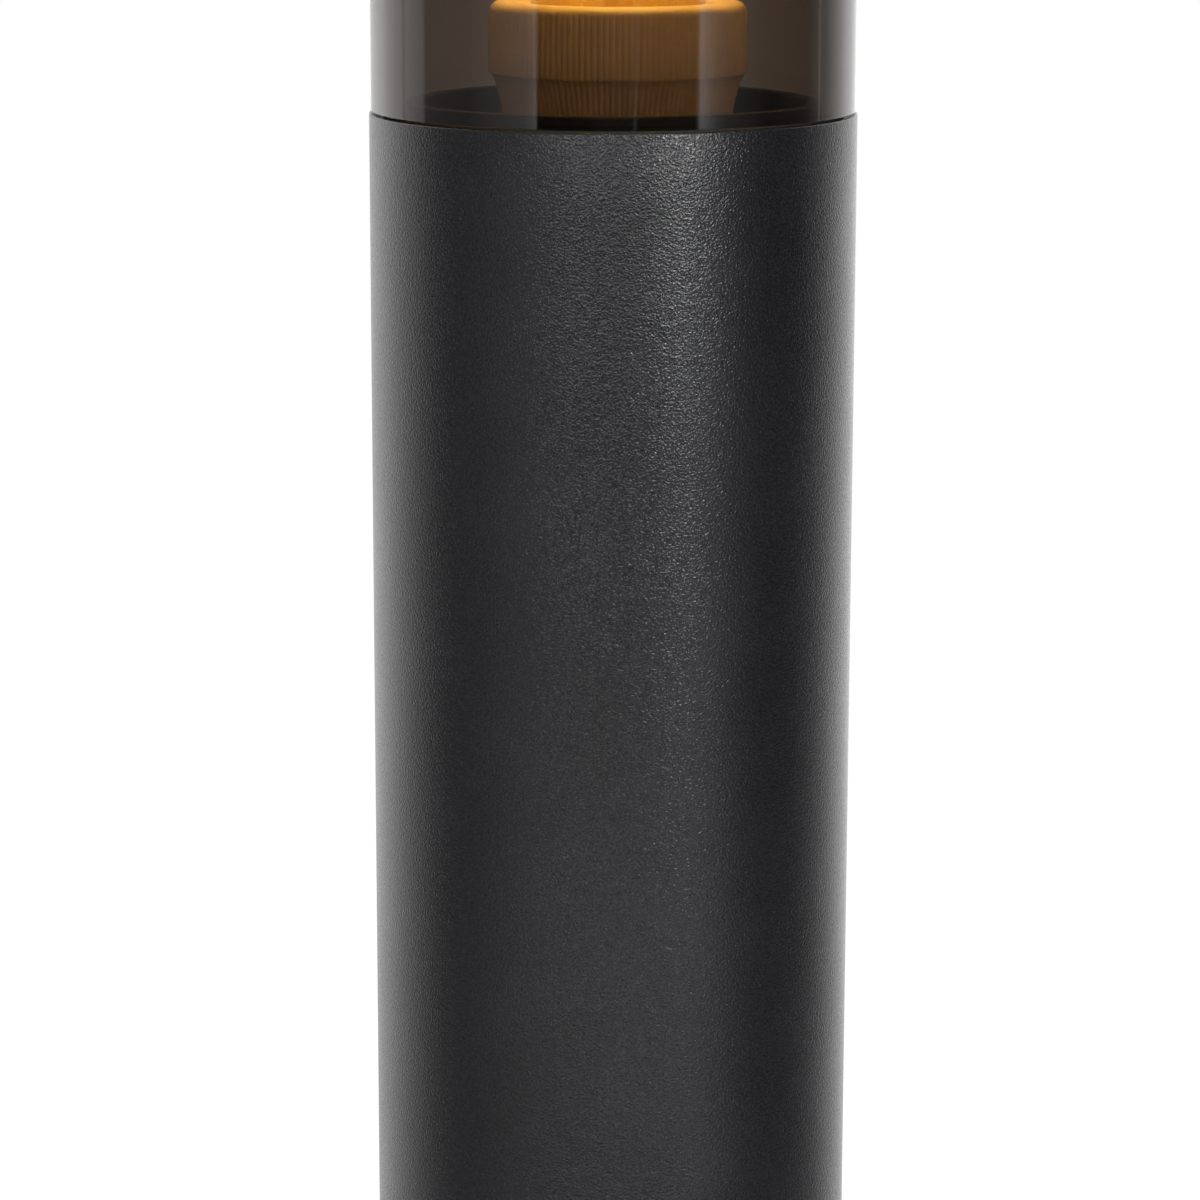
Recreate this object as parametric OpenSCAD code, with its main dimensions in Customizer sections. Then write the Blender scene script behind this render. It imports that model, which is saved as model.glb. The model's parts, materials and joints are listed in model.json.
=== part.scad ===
// Garden post light: a straight round post that stands on a mounting foot hidden inside its lower end,
// and a smoke-tinted tube as its head, with a porcelain lampholder and a warm filament bulb inside.
// Millimetres. The ground is at z = 0, the axis is at x = y = 0, and the front faces -Y.

/* [Post] */
// Outer diameter of the post and of the lid
post_d = 90; // [84:1:110]
// Wall of the post tube
post_wall = 2.5; // [2:0.1:3]
// Height of the seam between post and head above the ground
seam_z = 350; // [250:10:900]
// Rounding of the tube's upper rim
rim_round = 0.5; // [0.2:0.1:0.8]

/* [Mounting foot] */
// Thickness of the round flange that the tube stands on
flange_t = 4; // [3.5:0.5:6]
// Height of the collar that stands up inside the tube, above the flange
collar_h = 20; // [18:1:30]
// Wall of that collar
collar_wall = 3.5; // [3:0.5:4.5]
// Play between the collar and the tube, each side
foot_play = 0.2; // [0.1:0.05:0.3]
// Circle of the ground bolts
ground_pcd = 60; // [56:1:62]
// Diameter of the holes for the ground bolts
ground_hole_d = 6.5; // [5.5:0.5:7]
// Height of the countersunk screws through the tube, above the flange
side_screw_z = 9; // [8:0.5:10]
// Diameter of these screws
side_screw_d = 4; // [3:0.5:4]
// Thickness of the O-ring between collar and tube
o_ring_t = 2; // [1.5:0.1:2.2]
// Cable bore of the rubber grommet
cable_bore_d = 8; // [6:0.5:9]
// Wall of the grommet's sleeve
grommet_wall = 3; // [2.5:0.5:3.5]
// How far the grommet's lips stand out from its sleeve
grommet_lip = 2.5; // [2:0.5:3]

/* [Terminal block] */
// Distance from one pole to the next
pole_pitch = 12; // [11.8:0.1:12.6]
// Depth of the block, from wire entry to wire entry
block_depth = 17; // [16:1:18]
// Bore of the brass sleeves
sleeve_bore_d = 3; // [2.8:0.1:3.2]
// Diameter of the leads over their insulation
lead_d = 2.5; // [2:0.1:2.6]

/* [Head] */
// Length of the smoke-tinted tube
diffuser_h = 129; // [115:1:200]
// How far the tube's outside stands back from the post's
diffuser_step = 0.35; // [0.2:0.05:0.8]
// Wall of the smoke-tinted tube
diffuser_wall = 5.95; // [5:0.05:7]
// Shadow gap that each seal leaves at the tube's ends
seal_gap = 0.4; // [0.3:0.05:0.8]
// Height of the lid
cap_h = 20; // [16:1:30]
// Wall of the lid
cap_wall = 2.5; // [2:0.1:3]
// Rounding of the lid's upper edge
cap_round = 1.5; // [0.5:0.1:2]
// Width of the black ring seen inside the tube's foot
head_ring_w = 3.1; // [3:0.1:4]
// Height of that ring above the seam
head_ring_h = 2.5; // [2:0.1:4]
// Length of the ring's threaded skirt below the seam
skirt_h = 10; // [8:0.5:11]

/* [Lampholder] */
// How far the lampholder stands to the right of the post's axis
holder_x = 0.8; // [0:0.1:1]
// Diameter over the ribbed band
band_d = 47.6; // [46:0.2:50]
// Height of the lampholder's rim above the seam
rim_z = 20.4; // [19:0.1:24]
// Height of the ribbed band, from its lower edge to its shoulder
band_h = 10.9; // [9:0.1:11]
// Distance from one rib to the next
rib_pitch = 1.1; // [1:0.1:2]
// Depth of the grooves between the ribs
rib_depth = 0.25; // [0.1:0.05:0.3]
// Diameter of the lampholder's foot
holder_foot_d = 39; // [38:0.5:41]
// Height of the lampholder
holder_h = 50; // [49:1:52]
// Diameter of its mouth
mouth_d = 35.2; // [34:0.2:37]

/* [Bulb] */
// Diameter of the bulb
bulb_d = 60; // [55:1:60]
// Length of the bulb with its cap
bulb_h = 108; // [104:1:112]
// Wall of the glass
glass_t = 0.8; // [0.6:0.1:1]
// Length of each filament
filament_h = 34; // [28:1:36]

/* [Hidden] */
$fn = 96;

// Gap between faces that seat on each other
seat = 0.05;
// Depth by which a cut runs past a face
past = 1;

post_r = post_d / 2;
bore_r = post_r - post_wall;

// Foot, from the axis outwards
cable_r = cable_bore_d / 2;
grommet_r = cable_r + grommet_wall;
grommet_lip_r = grommet_r + grommet_lip;
grommet_lip_t = 2;
grommet_recess = 2;
collar_out_r = bore_r - foot_play;
collar_in_r = collar_out_r - collar_wall;
collar_top = flange_t + collar_h;
ground_bolts = 3;
side_screws = 3;
side_screw_boss_d = 11;
side_screw_boss_in = 2.5;
side_z = flange_t + side_screw_z;
side_head_r = side_screw_d;
side_head_h = side_screw_d / 2;
side_screw_len = post_wall + foot_play + collar_wall + side_screw_boss_in;
o_groove_t = o_ring_t + 0.3;
o_groove_z = collar_top - 3;
o_groove_r = bore_r - o_ring_t - seat;

// Terminal block, behind the grommet
poles = 3;
sleeve_r = sleeve_bore_d / 2;
sleeve_wall = 1.2;
sleeve_out_r = sleeve_r + sleeve_wall;
sleeve_len = block_depth - 3;
block_wall = 1.3;
barrel_r = sleeve_out_r + seat + block_wall;
chimney_r = 3.4;
chimney_off = sleeve_len / 4;
block_y = grommet_lip_r + 1 + block_depth / 2;
block_foot_h = 4.5;
block_z = flange_t + block_foot_h + barrel_r;
chimney_h = sleeve_out_r + 4.5;
clamp_screw_r = 1.3;
clamp_head_r = 2;
block_screw_r = 1.2;
block_screw_x = pole_pitch / 2;

// Earth connection on the foot
earth_x = 25;
earth_y = -12;
earth_at = [earth_x, earth_y];
earth_boss_r = 5;
earth_boss_h = 6;
earth_screw_r = 2;
earth_washer_t = 0.8;
earth_lug_t = 0.8;
earth_top = flange_t + earth_boss_h;

// Head, from the smoke-tinted tube inwards
diffuser_r = post_r - diffuser_step;
diffuser_in_r = diffuser_r - diffuser_wall;
diffuser_z = seam_z + seal_gap;
head_ring_r = diffuser_in_r - 0.1;
hole_r = head_ring_r - head_ring_w;
skirt_wall = 1.5;
skirt_r = hole_r + skirt_wall;
thread_play = 0.2;
insert_bore_r = skirt_r + thread_play;
insert_r = bore_r - seat;
insert_h = 16;
insert_flange_t = 4;
insert_flange_z = seam_z - insert_h + insert_flange_t;
seal_in_r = head_ring_r + 0.4;
seal_depth = 1;
lock_z = seam_z - 6;
lock_screw_r = 2;

// Lid
cap_z = diffuser_z + diffuser_h + seal_gap;
cap_in_r = post_r - cap_wall;
cap_ring_t = 3;
cap_spigot_h = 5;
cap_spigot_wall = 2;
cap_screw_r = 1.5;
cap_screw_head_r = 2.8;
cap_screw_head_h = 1.6;
cap_screw_hold = 5;
cap_screw_at = diffuser_in_r - cap_spigot_wall - 3.9;
cap_ring_in_r = cap_screw_at - 3.5;
cap_pillar_r = 4;
cap_top_t = 2.5;

// Lampholder, heights from the seam
band_r = band_d / 2;
rib_root_r = band_r - rib_depth;
ribs = round(2 * PI * band_r / rib_pitch);
rib_flat = 0.56;
rib_ledge = 0.15;
shoulder_r = 1.5;
band_top = rim_z - shoulder_r;
band_low = band_top - band_h;
band_under = 1.2;
waist_step = 1;
waist_r = band_r - waist_step;
neck_fall = 5.8;
neck_r = band_r - 2.5;
holder_low = rim_z - holder_h;
holder_foot_r = holder_foot_d / 2;
mouth_r = mouth_d / 2;
mouth_depth = 8;

// Screw thread of the bulb, drawn as rings of the same pitch
thread_pitch = 3.62;
thread_mean_r = 12.65;
thread_wave = 0.45;
thread_turns = 4;
thread_low = -12.2;
thread_steps = 8;
cap_shell_t = 0.5;
shell_t = 0.4;
shell_gap = 0.3;
shell_mean_r = thread_mean_r + shell_gap;
shell_low = thread_low - 1;
cavity_r = shell_mean_r + shell_t + thread_wave + 0.2;
contact_z = -18;
cavity_low = contact_z - 2;
bulb_cap_h = 27;
bulb_rim_z = contact_z + bulb_cap_h;
skirt_cap_r = 13.3;
bulb_neck_r = skirt_cap_r - cap_shell_t - 0.2;
wire_hole_x = 5;
wire_hole_y = 12;
wire_hole_h = 8;
holder_screw_x = 12;
holder_screw_r = 2;
holder_screw_depth = 7;

// Strap that carries the lampholder
strap_w = 16;
strap_t = 1.5;
strap_bend = 1.5;
strap_leg_x = neck_r + holder_x + 1;
strap_leg_out = strap_leg_x + strap_t;
insert_flange_in_r = norm([strap_leg_out + strap_bend, strap_w / 2]) + 0.2;
bracket_room = hole_r - insert_flange_in_r;
bracket_screw_x = insert_flange_in_r + bracket_room / 2;
bracket_screw_r = 1.5;
bracket_head_r = 2.3;
bracket_head_h = 1.6;
strap_end_x = hole_r - 0.7;
strap_top = insert_flange_z + strap_t;
strap_low = seam_z + holder_low - strap_t;

// Bulb, heights from the seam
bulb_r = bulb_d / 2;
bulb_top = contact_z + bulb_h;
bulb_centre = bulb_top - bulb_r;
neck_flare = 4.3;
neck_rise = 17;
tangent_angle = 75;
tangent_pull = 15;
curve_steps = 12;
dome_steps = 20;
stem_r = 2.5;
stem_drop = 22;
stem_top = bulb_centre - stem_drop;
stem_foot_h = 10;
glass_sunk = 6;
glass_low = bulb_rim_z - glass_sunk;
filament_r = 0.9;
filament_count = 4;
filament_low_r = 7;
filament_top_r = 10;
filament_low = bulb_centre - filament_h / 2;
filament_top = bulb_centre + filament_h / 2;
wire_r = 0.35;

// Screw with a round head and a hexagon socket, its head's underside at z = 0 and its shank downwards
module socket_screw(shank_r, shank_h, head_r, head_h) {
    difference() {
        union() {
            cylinder(r = head_r, h = head_h);
            translate([0, 0, -shank_h]) cylinder(r = shank_r, h = shank_h);
        }
        translate([0, 0, head_h * 0.35]) cylinder(r = shank_r * 0.75, h = head_h, $fn = 6);
    }
}

// Screw with a countersunk head flush at z = 0 and its shank downwards
module countersunk_screw(shank_r, length, head_r, head_h) {
    difference() {
        union() {
            translate([0, 0, -head_h]) cylinder(r1 = shank_r, r2 = head_r, h = head_h);
            translate([0, 0, -length]) cylinder(r = shank_r, h = length - head_h);
        }
        translate([0, 0, -head_h]) cylinder(r = shank_r * 0.7, h = head_h + past, $fn = 6);
    }
}

// Round bar from one point to another
module rod(from, to, r) {
    d = to - from;
    translate(from)
        rotate([0, acos(d[2] / norm(d)), atan2(d[1], d[0])])
            cylinder(r = r, h = norm(d));
}

// Quarter of a ring in the plane, for the bends of the strap
module quarter_bend(at, x_side, z_side) {
    reach = strap_bend + strap_t;
    translate(at)
        to_side(x_side, z_side)
            intersection() {
                difference() {
                    circle(r = reach);
                    circle(r = strap_bend);
                }
                square(reach);
            }
}

// Turns what lies to the right and above to the named sides
module to_side(x_side, z_side) {
    mirror([x_side < 0 ? 1 : 0, 0])
        mirror([0, z_side < 0 ? 1 : 0])
            children();
}

// Points of a smooth curve through hand-set points, with a few steps from one to the next
function between(a, b, c, d, t) =
    let (bend = 2 * a - 5 * b + 4 * c - d)
    let (twist = 3 * b - a - 3 * c + d)
    b + ((c - a) * t + bend * t * t + twist * t * t * t) / 2;

function smooth(pts, steps) = [
    for (i = [0 : len(pts) - 2])
        for (s = [0 : steps - 1])
            between(pts[max(i - 1, 0)], pts[i], pts[i + 1], pts[min(i + 2, len(pts) - 1)], s / steps),
    pts[len(pts) - 1]
];

// Tube swept along a route. The side vector is one that the route never runs along
module swept_lead(route, side) {
    path = smooth(route, 2);
    n = len(path);
    sides = 8;
    ahead = [for (i = [0 : n - 1]) path[min(i + 1, n - 1)] - path[max(i - 1, 0)]];
    pts = [
        for (i = [0 : n - 1])
            let (u = cross(ahead[i], side) / norm(cross(ahead[i], side)))
            let (v = cross(u, ahead[i]) / norm(ahead[i]))
            for (k = [0 : sides - 1])
                path[i] + lead_d / 2 * (cos(360 * k / sides) * u + sin(360 * k / sides) * v)
    ];
    walls = [
        for (i = [0 : n - 2])
            for (k = [0 : sides - 1])
                let (a = i * sides + k)
                let (b = i * sides + (k + 1) % sides)
                for (f = [[a, b, b + sides], [a, b + sides, a + sides]])
                    f
    ];
    start_cap = [for (k = [sides - 1 : -1 : 0]) k];
    end_cap = [for (k = [0 : sides - 1]) (n - 1) * sides + k];
    polyhedron(points = pts, faces = concat(walls, [start_cap, end_cap]));
}

// Post

module post_tube() {
    color([0.16, 0.16, 0.175])
        difference() {
            rotate_extrude() polygon([
                [bore_r, flange_t],
                [post_r, flange_t],
                for (a = [0 : 30 : 90])
                    [post_r - rim_round * (1 - cos(a)), seam_z - rim_round * (1 - sin(a))],
                [bore_r, seam_z]
            ]);
            side_screw_places()
                translate([0, 0, post_r]) tube_screw_cut();
            translate([0, bore_r - past, lock_z])
                rotate([-90, 0, 0]) cylinder(r = lock_screw_r + 0.3, h = post_wall + 2 * past);
        }
}

// Countersunk hole, its mouth at z = 0, drilled downwards through the tube's wall
module tube_screw_cut() {
    shank_r = side_screw_d / 2 + seat;
    rotate_extrude() polygon([
        [0, -post_wall - past],
        [shank_r, -post_wall - past],
        [shank_r, -side_head_h],
        [shank_r + side_head_h + past, past],
        [0, past]
    ]);
}

// Each place points outwards along its own z
module side_screw_places() {
    for (i = [0 : side_screws - 1])
        rotate([0, 0, 90 + i * 360 / side_screws])
            translate([0, 0, side_z])
                rotate([0, 90, 0])
                    children();
}

module ground_bolt_places() {
    for (i = [0 : ground_bolts - 1])
        rotate([0, 0, 30 + i * 360 / ground_bolts])
            translate([ground_pcd / 2, 0, 0])
                children();
}

// Foot

module foot_casting() {
    color([0.2, 0.2, 0.21])
        difference() {
            union() {
                rotate_extrude() foot_profile();
                side_screw_places() side_screw_boss();
                translate([earth_at[0], earth_at[1], flange_t - past])
                    cylinder(r = earth_boss_r, h = earth_boss_h + past);
                for (side = [-1, 1])
                    translate([side * block_screw_x, block_y, flange_t - past])
                        cylinder(r = block_screw_r + 1.3, h = block_foot_h + past - seat);
            }
            ground_bolt_places()
                translate([0, 0, -past]) cylinder(d = ground_hole_d, h = flange_t + 2 * past);
            side_screw_places()
                cylinder(r = side_screw_d / 2 + seat, h = post_r);
            translate([earth_at[0], earth_at[1], flange_t])
                cylinder(r = earth_screw_r + seat, h = earth_boss_h + past);
            for (side = [-1, 1])
                translate([side * block_screw_x, block_y, flange_t - 2])
                    cylinder(r = block_screw_r + seat, h = block_foot_h + 2 + past);
        }
}

module foot_profile() {
    recess_r = grommet_lip_r + 0.2;
    groove_low = o_groove_z - o_groove_t / 2;
    groove_top = o_groove_z + o_groove_t / 2;
    polygon([
        [recess_r, 0],
        [post_r - 0.5, 0],
        [post_r, 0.5],
        [post_r, flange_t],
        [collar_out_r, flange_t],
        [collar_out_r, groove_low],
        [o_groove_r, groove_low],
        [o_groove_r, groove_top],
        [collar_out_r, groove_top],
        [collar_out_r, collar_top - 0.8],
        [collar_out_r - 0.8, collar_top],
        [collar_in_r + 0.5, collar_top],
        [collar_in_r, flange_t + 1],
        [collar_in_r - 1, flange_t],
        [grommet_r + seat, flange_t],
        [grommet_r + seat, grommet_recess],
        [recess_r, grommet_recess]
    ]);
}

// Round pad that thickens the collar inwards for a screw
module side_screw_boss() {
    translate([0, 0, collar_in_r - side_screw_boss_in])
        cylinder(d = side_screw_boss_d, h = side_screw_boss_in + collar_wall / 2);
}

module foot_o_ring() {
    color([0.07, 0.07, 0.07])
        translate([0, 0, o_groove_z])
            rotate_extrude()
                translate([bore_r - o_ring_t / 2 - seat / 2, 0]) circle(d = o_ring_t);
}

module foot_screws() {
    color([0.12, 0.12, 0.13])
        side_screw_places()
            translate([0, 0, post_r - 0.1])
                countersunk_screw(side_screw_d / 2, side_screw_len, side_head_r - 0.1, side_head_h - 0.1);
}

module cable_grommet() {
    lip_low = 0.2;
    lip_top = flange_t + seat;
    color([0.08, 0.08, 0.08])
        rotate_extrude() polygon([
            [cable_r, lip_low],
            [grommet_lip_r, lip_low],
            [grommet_lip_r, grommet_recess - seat],
            [grommet_r, grommet_recess - seat],
            [grommet_r, lip_top],
            [grommet_lip_r, lip_top],
            [grommet_lip_r - 0.6, lip_top + grommet_lip_t],
            [cable_r, lip_top + grommet_lip_t]
        ]);
}

// Terminal block

function pole_x(i) = (i - (poles - 1) / 2) * pole_pitch;

module pole_places() {
    for (i = [0 : poles - 1])
        translate([pole_x(i), block_y, block_z])
            children();
}

module clamp_places() {
    pole_places()
        for (side = [-1, 1])
            translate([0, side * chimney_off, 0])
                children();
}

module along_y(length) {
    rotate([90, 0, 0]) translate([0, 0, -length / 2]) children();
}

module terminal_block() {
    web_h = 3;
    web_low = block_z - barrel_r;
    color([0.9, 0.89, 0.85])
        difference() {
            union() {
                pole_places() {
                    along_y(block_depth) cylinder(r = barrel_r, h = block_depth);
                    translate([-barrel_r, -block_depth / 2, -barrel_r])
                        cube([2 * barrel_r, block_depth, barrel_r]);
                }
                clamp_places() cylinder(r = chimney_r, h = chimney_h);
                translate([pole_x(0), block_y - block_depth / 4, web_low])
                    cube([(poles - 1) * pole_pitch, block_depth / 2, web_h]);
            }
            pole_places()
                along_y(sleeve_len) cylinder(r = sleeve_out_r + seat, h = sleeve_len);
            pole_places()
                along_y(block_depth + past) cylinder(r = sleeve_r + 0.3, h = block_depth + past);
            clamp_places() cylinder(r = clamp_head_r + 0.2, h = chimney_h + past);
            for (side = [-1, 1])
                translate([side * block_screw_x, block_y, web_low - past])
                    cylinder(r = block_screw_r + seat, h = web_h + 2 * past);
        }
}

module terminal_sleeves() {
    color([0.78, 0.66, 0.32])
        difference() {
            pole_places()
                along_y(sleeve_len - 0.1) cylinder(r = sleeve_out_r, h = sleeve_len - 0.1);
            pole_places()
                along_y(sleeve_len + past) cylinder(r = sleeve_r, h = sleeve_len + past);
            clamp_places() cylinder(r = clamp_screw_r + seat, h = sleeve_out_r + past);
        }
}

// Each screw's head rests on its sleeve and its tip reaches into the bore
module terminal_screws() {
    tip = sleeve_r - 0.1;
    shank = sleeve_out_r + 0.1 - tip;
    color([0.75, 0.75, 0.73])
        clamp_places()
            translate([0, 0, sleeve_out_r + 0.1])
                difference() {
                    union() {
                        cylinder(r = clamp_head_r, h = 2.4);
                        translate([0, 0, -shank]) cylinder(r = clamp_screw_r, h = shank);
                    }
                    translate([-clamp_head_r - past, -0.3, 1.4]) cube([2 * (clamp_head_r + past), 0.6, 2]);
                }
}

module block_screws() {
    head_low = block_z - barrel_r + 3 + seat;
    color([0.75, 0.75, 0.73])
        for (side = [-1, 1])
            translate([side * block_screw_x, block_y, head_low])
                socket_screw(block_screw_r, block_foot_h + 4, block_screw_r + 0.55, 1.6);
}

// Earth connection

module earth_washer() {
    color([0.75, 0.75, 0.73])
        translate([earth_at[0], earth_at[1], earth_top + earth_lug_t + 2 * seat])
            difference() {
                cylinder(r = 4, h = earth_washer_t);
                translate([0, 0, -past]) cylinder(r = earth_screw_r + 0.15, h = earth_washer_t + 2 * past);
            }
}

module earth_screw() {
    head_low = earth_top + earth_lug_t + earth_washer_t + 3 * seat;
    color([0.75, 0.75, 0.73])
        translate([earth_at[0], earth_at[1], head_low])
            socket_screw(earth_screw_r, 7, 3.5, 2.4);
}

// Ring terminal: the ring lies on the boss and its barrel points to the back, where the lead enters it
module earth_lug() {
    barrel_out_r = lead_d / 2 + 0.6;
    barrel_l = 6;
    barrel_y = 7;
    color([0.8, 0.8, 0.78])
        translate([earth_at[0], earth_at[1], earth_top + seat])
            difference() {
                union() {
                    cylinder(r = 4, h = earth_lug_t);
                    translate([-1.6, 0, 0]) cube([3.2, barrel_y + 1, earth_lug_t]);
                    translate([0, barrel_y, barrel_out_r])
                        rotate([-90, 0, 0]) cylinder(r = barrel_out_r, h = barrel_l);
                }
                translate([0, 0, -past]) cylinder(r = earth_screw_r + 0.15, h = earth_lug_t + 2 * past);
                translate([0, barrel_y + past, barrel_out_r])
                    rotate([-90, 0, 0]) cylinder(r = lead_d / 2 + 0.1, h = barrel_l);
            }
}

// Leads inside the post

// How far behind the axis the leads run up the post
lead_y = collar_in_r - side_screw_boss_in - lead_d / 2 - 0.9;
lead_start_y = block_y + sleeve_len / 2 - 1.5;
lead_lean = 34;
lug_reach = 8.5;
lead_turn_z = seam_z + holder_low - lead_lean;
lead_end_z = seam_z + holder_low + wire_hole_h - 2;

function riser(x, end_x) = [
    [x, lead_start_y, block_z],
    [x, lead_start_y + 3, block_z],
    [x, lead_y - 0.6, block_z + 3],
    [x, lead_y, block_z + 9],
    [x, lead_y, block_z + 30],
    [x, lead_y, (block_z + lead_turn_z) / 2],
    [x, lead_y, lead_turn_z - 10],
    [(x + end_x) / 2, lead_y - 4, lead_turn_z + lead_lean / 6],
    [end_x, wire_hole_y + 6, lead_turn_z + lead_lean / 2],
    [end_x, wire_hole_y + 0.6, lead_turn_z + lead_lean * 0.8],
    [end_x, wire_hole_y, seam_z + holder_low],
    [end_x, wire_hole_y, lead_end_z]
];

module lead_live() {
    color([0.35, 0.2, 0.12])
        swept_lead(riser(pole_x(0), holder_x - wire_hole_x), [1, 0, 0]);
}

module lead_neutral() {
    color([0.15, 0.3, 0.6])
        swept_lead(riser(pole_x(1), holder_x + wire_hole_x), [1, 0, 0]);
}

module lead_earth() {
    lug_z = earth_top + seat + lead_d / 2 + 0.6;
    route = [
        [pole_x(2), lead_start_y, block_z],
        [pole_x(2), lead_start_y + 3, block_z],
        [pole_x(2) + 3, lead_y - 1, block_z + 1.5],
        for (p = [[51, 0.94, 4], [31, 0.92, 4], [14, 0.87, 2]])
            [p[1] * lead_y * cos(p[0]), p[1] * lead_y * sin(p[0]), block_z + p[2]],
        [earth_x + 1.5, earth_y + 2 * lug_reach, lug_z + 0.6],
        [earth_x, earth_y + 1.65 * lug_reach, lug_z],
        [earth_x, earth_y + 1.3 * lug_reach, lug_z],
        [earth_x, earth_y + lug_reach, lug_z]
    ];
    color([0.45, 0.6, 0.15])
        swept_lead(route, [0, 0, 1]);
}

// Top of the post

module post_insert() {
    color([0.18, 0.18, 0.19])
        difference() {
            rotate_extrude() polygon([
                [insert_bore_r, insert_flange_z],
                [insert_bore_r, seam_z - seat],
                [seal_in_r - 0.1, seam_z - seat],
                [seal_in_r - 0.1, seam_z - seal_depth],
                [insert_r, seam_z - seal_depth],
                [insert_r, seam_z - insert_h],
                [insert_flange_in_r, seam_z - insert_h],
                [insert_flange_in_r, insert_flange_z]
            ]);
            for (side = [-1, 1])
                translate([side * bracket_screw_x, 0, seam_z - insert_h - past])
                    cylinder(r = bracket_screw_r + seat, h = insert_flange_t + 2 * past);
            translate([0, insert_bore_r - past, lock_z])
                rotate([-90, 0, 0]) cylinder(r = lock_screw_r + seat, h = insert_r);
        }
}

module lock_screw() {
    tip_y = skirt_r + 0.1;
    length = post_r - 0.4 - tip_y;
    color([0.15, 0.15, 0.16])
        translate([0, tip_y, lock_z])
            rotate([-90, 0, 0])
                difference() {
                    cylinder(r = lock_screw_r, h = length);
                    translate([0, 0, length - 2]) cylinder(r = lock_screw_r * 0.55, h = 3, $fn = 6);
                }
}

module head_ring() {
    color([0.1, 0.1, 0.11])
        rotate_extrude() polygon([
            [hole_r, seam_z - skirt_h],
            [hole_r, seam_z + head_ring_h - 0.3],
            [hole_r + 0.3, seam_z + head_ring_h],
            [head_ring_r - 0.3, seam_z + head_ring_h],
            [head_ring_r, seam_z + head_ring_h - 0.3],
            [head_ring_r, seam_z],
            [skirt_r, seam_z],
            [skirt_r, seam_z - skirt_h + 0.5],
            [skirt_r - 0.5, seam_z - skirt_h]
        ]);
}

module ring(r_out, r_in, h) {
    difference() {
        cylinder(r = r_out, h = h);
        translate([0, 0, -past]) cylinder(r = r_in, h = h + 2 * past);
    }
}

module diffuser_seal() {
    color([0.06, 0.06, 0.06])
        translate([0, 0, seam_z - seal_depth + seat])
            ring(insert_r - 0.1, seal_in_r, seal_depth + seal_gap - 2 * seat);
}

module diffuser() {
    edge = 0.3;
    color([0.25, 0.21, 0.18, 0.5])
        rotate_extrude() polygon([
            [diffuser_in_r, diffuser_z],
            [diffuser_r - edge, diffuser_z],
            [diffuser_r, diffuser_z + edge],
            [diffuser_r, diffuser_z + diffuser_h - edge],
            [diffuser_r - edge, diffuser_z + diffuser_h],
            [diffuser_in_r, diffuser_z + diffuser_h]
        ]);
}

// Lid

module cap_seal() {
    color([0.06, 0.06, 0.06])
        translate([0, 0, cap_z - seal_gap + seat])
            ring(cap_in_r - 0.3, diffuser_in_r + 0.4, seal_gap - 2 * seat);
}

module cap_screw_places() {
    for (i = [0 : 2])
        rotate([0, 0, 30 + i * 120])
            translate([cap_screw_at, 0, 0])
                children();
}

module cap_ring() {
    spigot_r = diffuser_in_r - 0.1;
    color([0.14, 0.14, 0.15])
        difference() {
            rotate_extrude() polygon([
                [cap_ring_in_r, cap_z],
                [spigot_r - cap_spigot_wall, cap_z],
                [spigot_r - cap_spigot_wall, cap_z - cap_spigot_h],
                [spigot_r, cap_z - cap_spigot_h],
                [spigot_r, cap_z],
                [cap_in_r - seat, cap_z],
                [cap_in_r - seat, cap_z + cap_ring_t],
                [cap_ring_in_r, cap_z + cap_ring_t]
            ]);
            cap_screw_places()
                translate([0, 0, cap_z - past]) cylinder(r = cap_screw_r + 0.1, h = cap_ring_t + 2 * past);
        }
}

module cap_screws() {
    color([0.6, 0.6, 0.6])
        cap_screw_places()
            translate([0, 0, cap_z - seat])
                mirror([0, 0, 1])
                    socket_screw(
                        cap_screw_r, cap_ring_t + cap_screw_hold,
                        cap_screw_head_r, cap_screw_head_h
                    );
}

module cap() {
    pillar_low = cap_z + cap_ring_t + seat;
    top = cap_z + cap_h;
    color([0.16, 0.16, 0.175])
        difference() {
            union() {
                rotate_extrude() polygon([
                    [0, top - cap_top_t],
                    [cap_in_r - 1, top - cap_top_t],
                    [cap_in_r, top - cap_top_t - 1],
                    [cap_in_r, cap_z],
                    [post_r - 0.3, cap_z],
                    [post_r, cap_z + 0.3],
                    [post_r, top - cap_round],
                    for (a = [15 : 15 : 75])
                        [post_r - cap_round * (1 - cos(a)), top - cap_round * (1 - sin(a))],
                    [post_r - cap_round, top],
                    [0, top]
                ]);
                cap_screw_places()
                    translate([0, 0, pillar_low]) cylinder(r = cap_pillar_r, h = top - pillar_low - 1);
            }
            cap_screw_places()
                translate([0, 0, pillar_low - past]) cylinder(r = cap_screw_r + seat, h = 8 + past);
        }
}

// Lampholder

module at_holder() {
    translate([holder_x, 0, seam_z]) children();
}

// Strap bent into a hat: its ends lie on the insert's flange and its bar passes under the lampholder
module lampholder_bracket() {
    color([0.12, 0.12, 0.12])
        difference() {
            translate([0, strap_w / 2, 0])
                rotate([90, 0, 0])
                    linear_extrude(strap_w) {
                        strap_half();
                        mirror([1, 0]) strap_half();
                    }
            for (side = [-1, 1])
                translate([side * bracket_screw_x, 0, strap_top - strap_t - past])
                    cylinder(r = bracket_screw_r + 0.15, h = strap_t + 2 * past);
            for (side = [-1, 1])
                translate([holder_x + side * holder_screw_x, 0, strap_low - past])
                    cylinder(r = holder_screw_r + 0.15, h = strap_t + 2 * past);
        }
}

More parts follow.
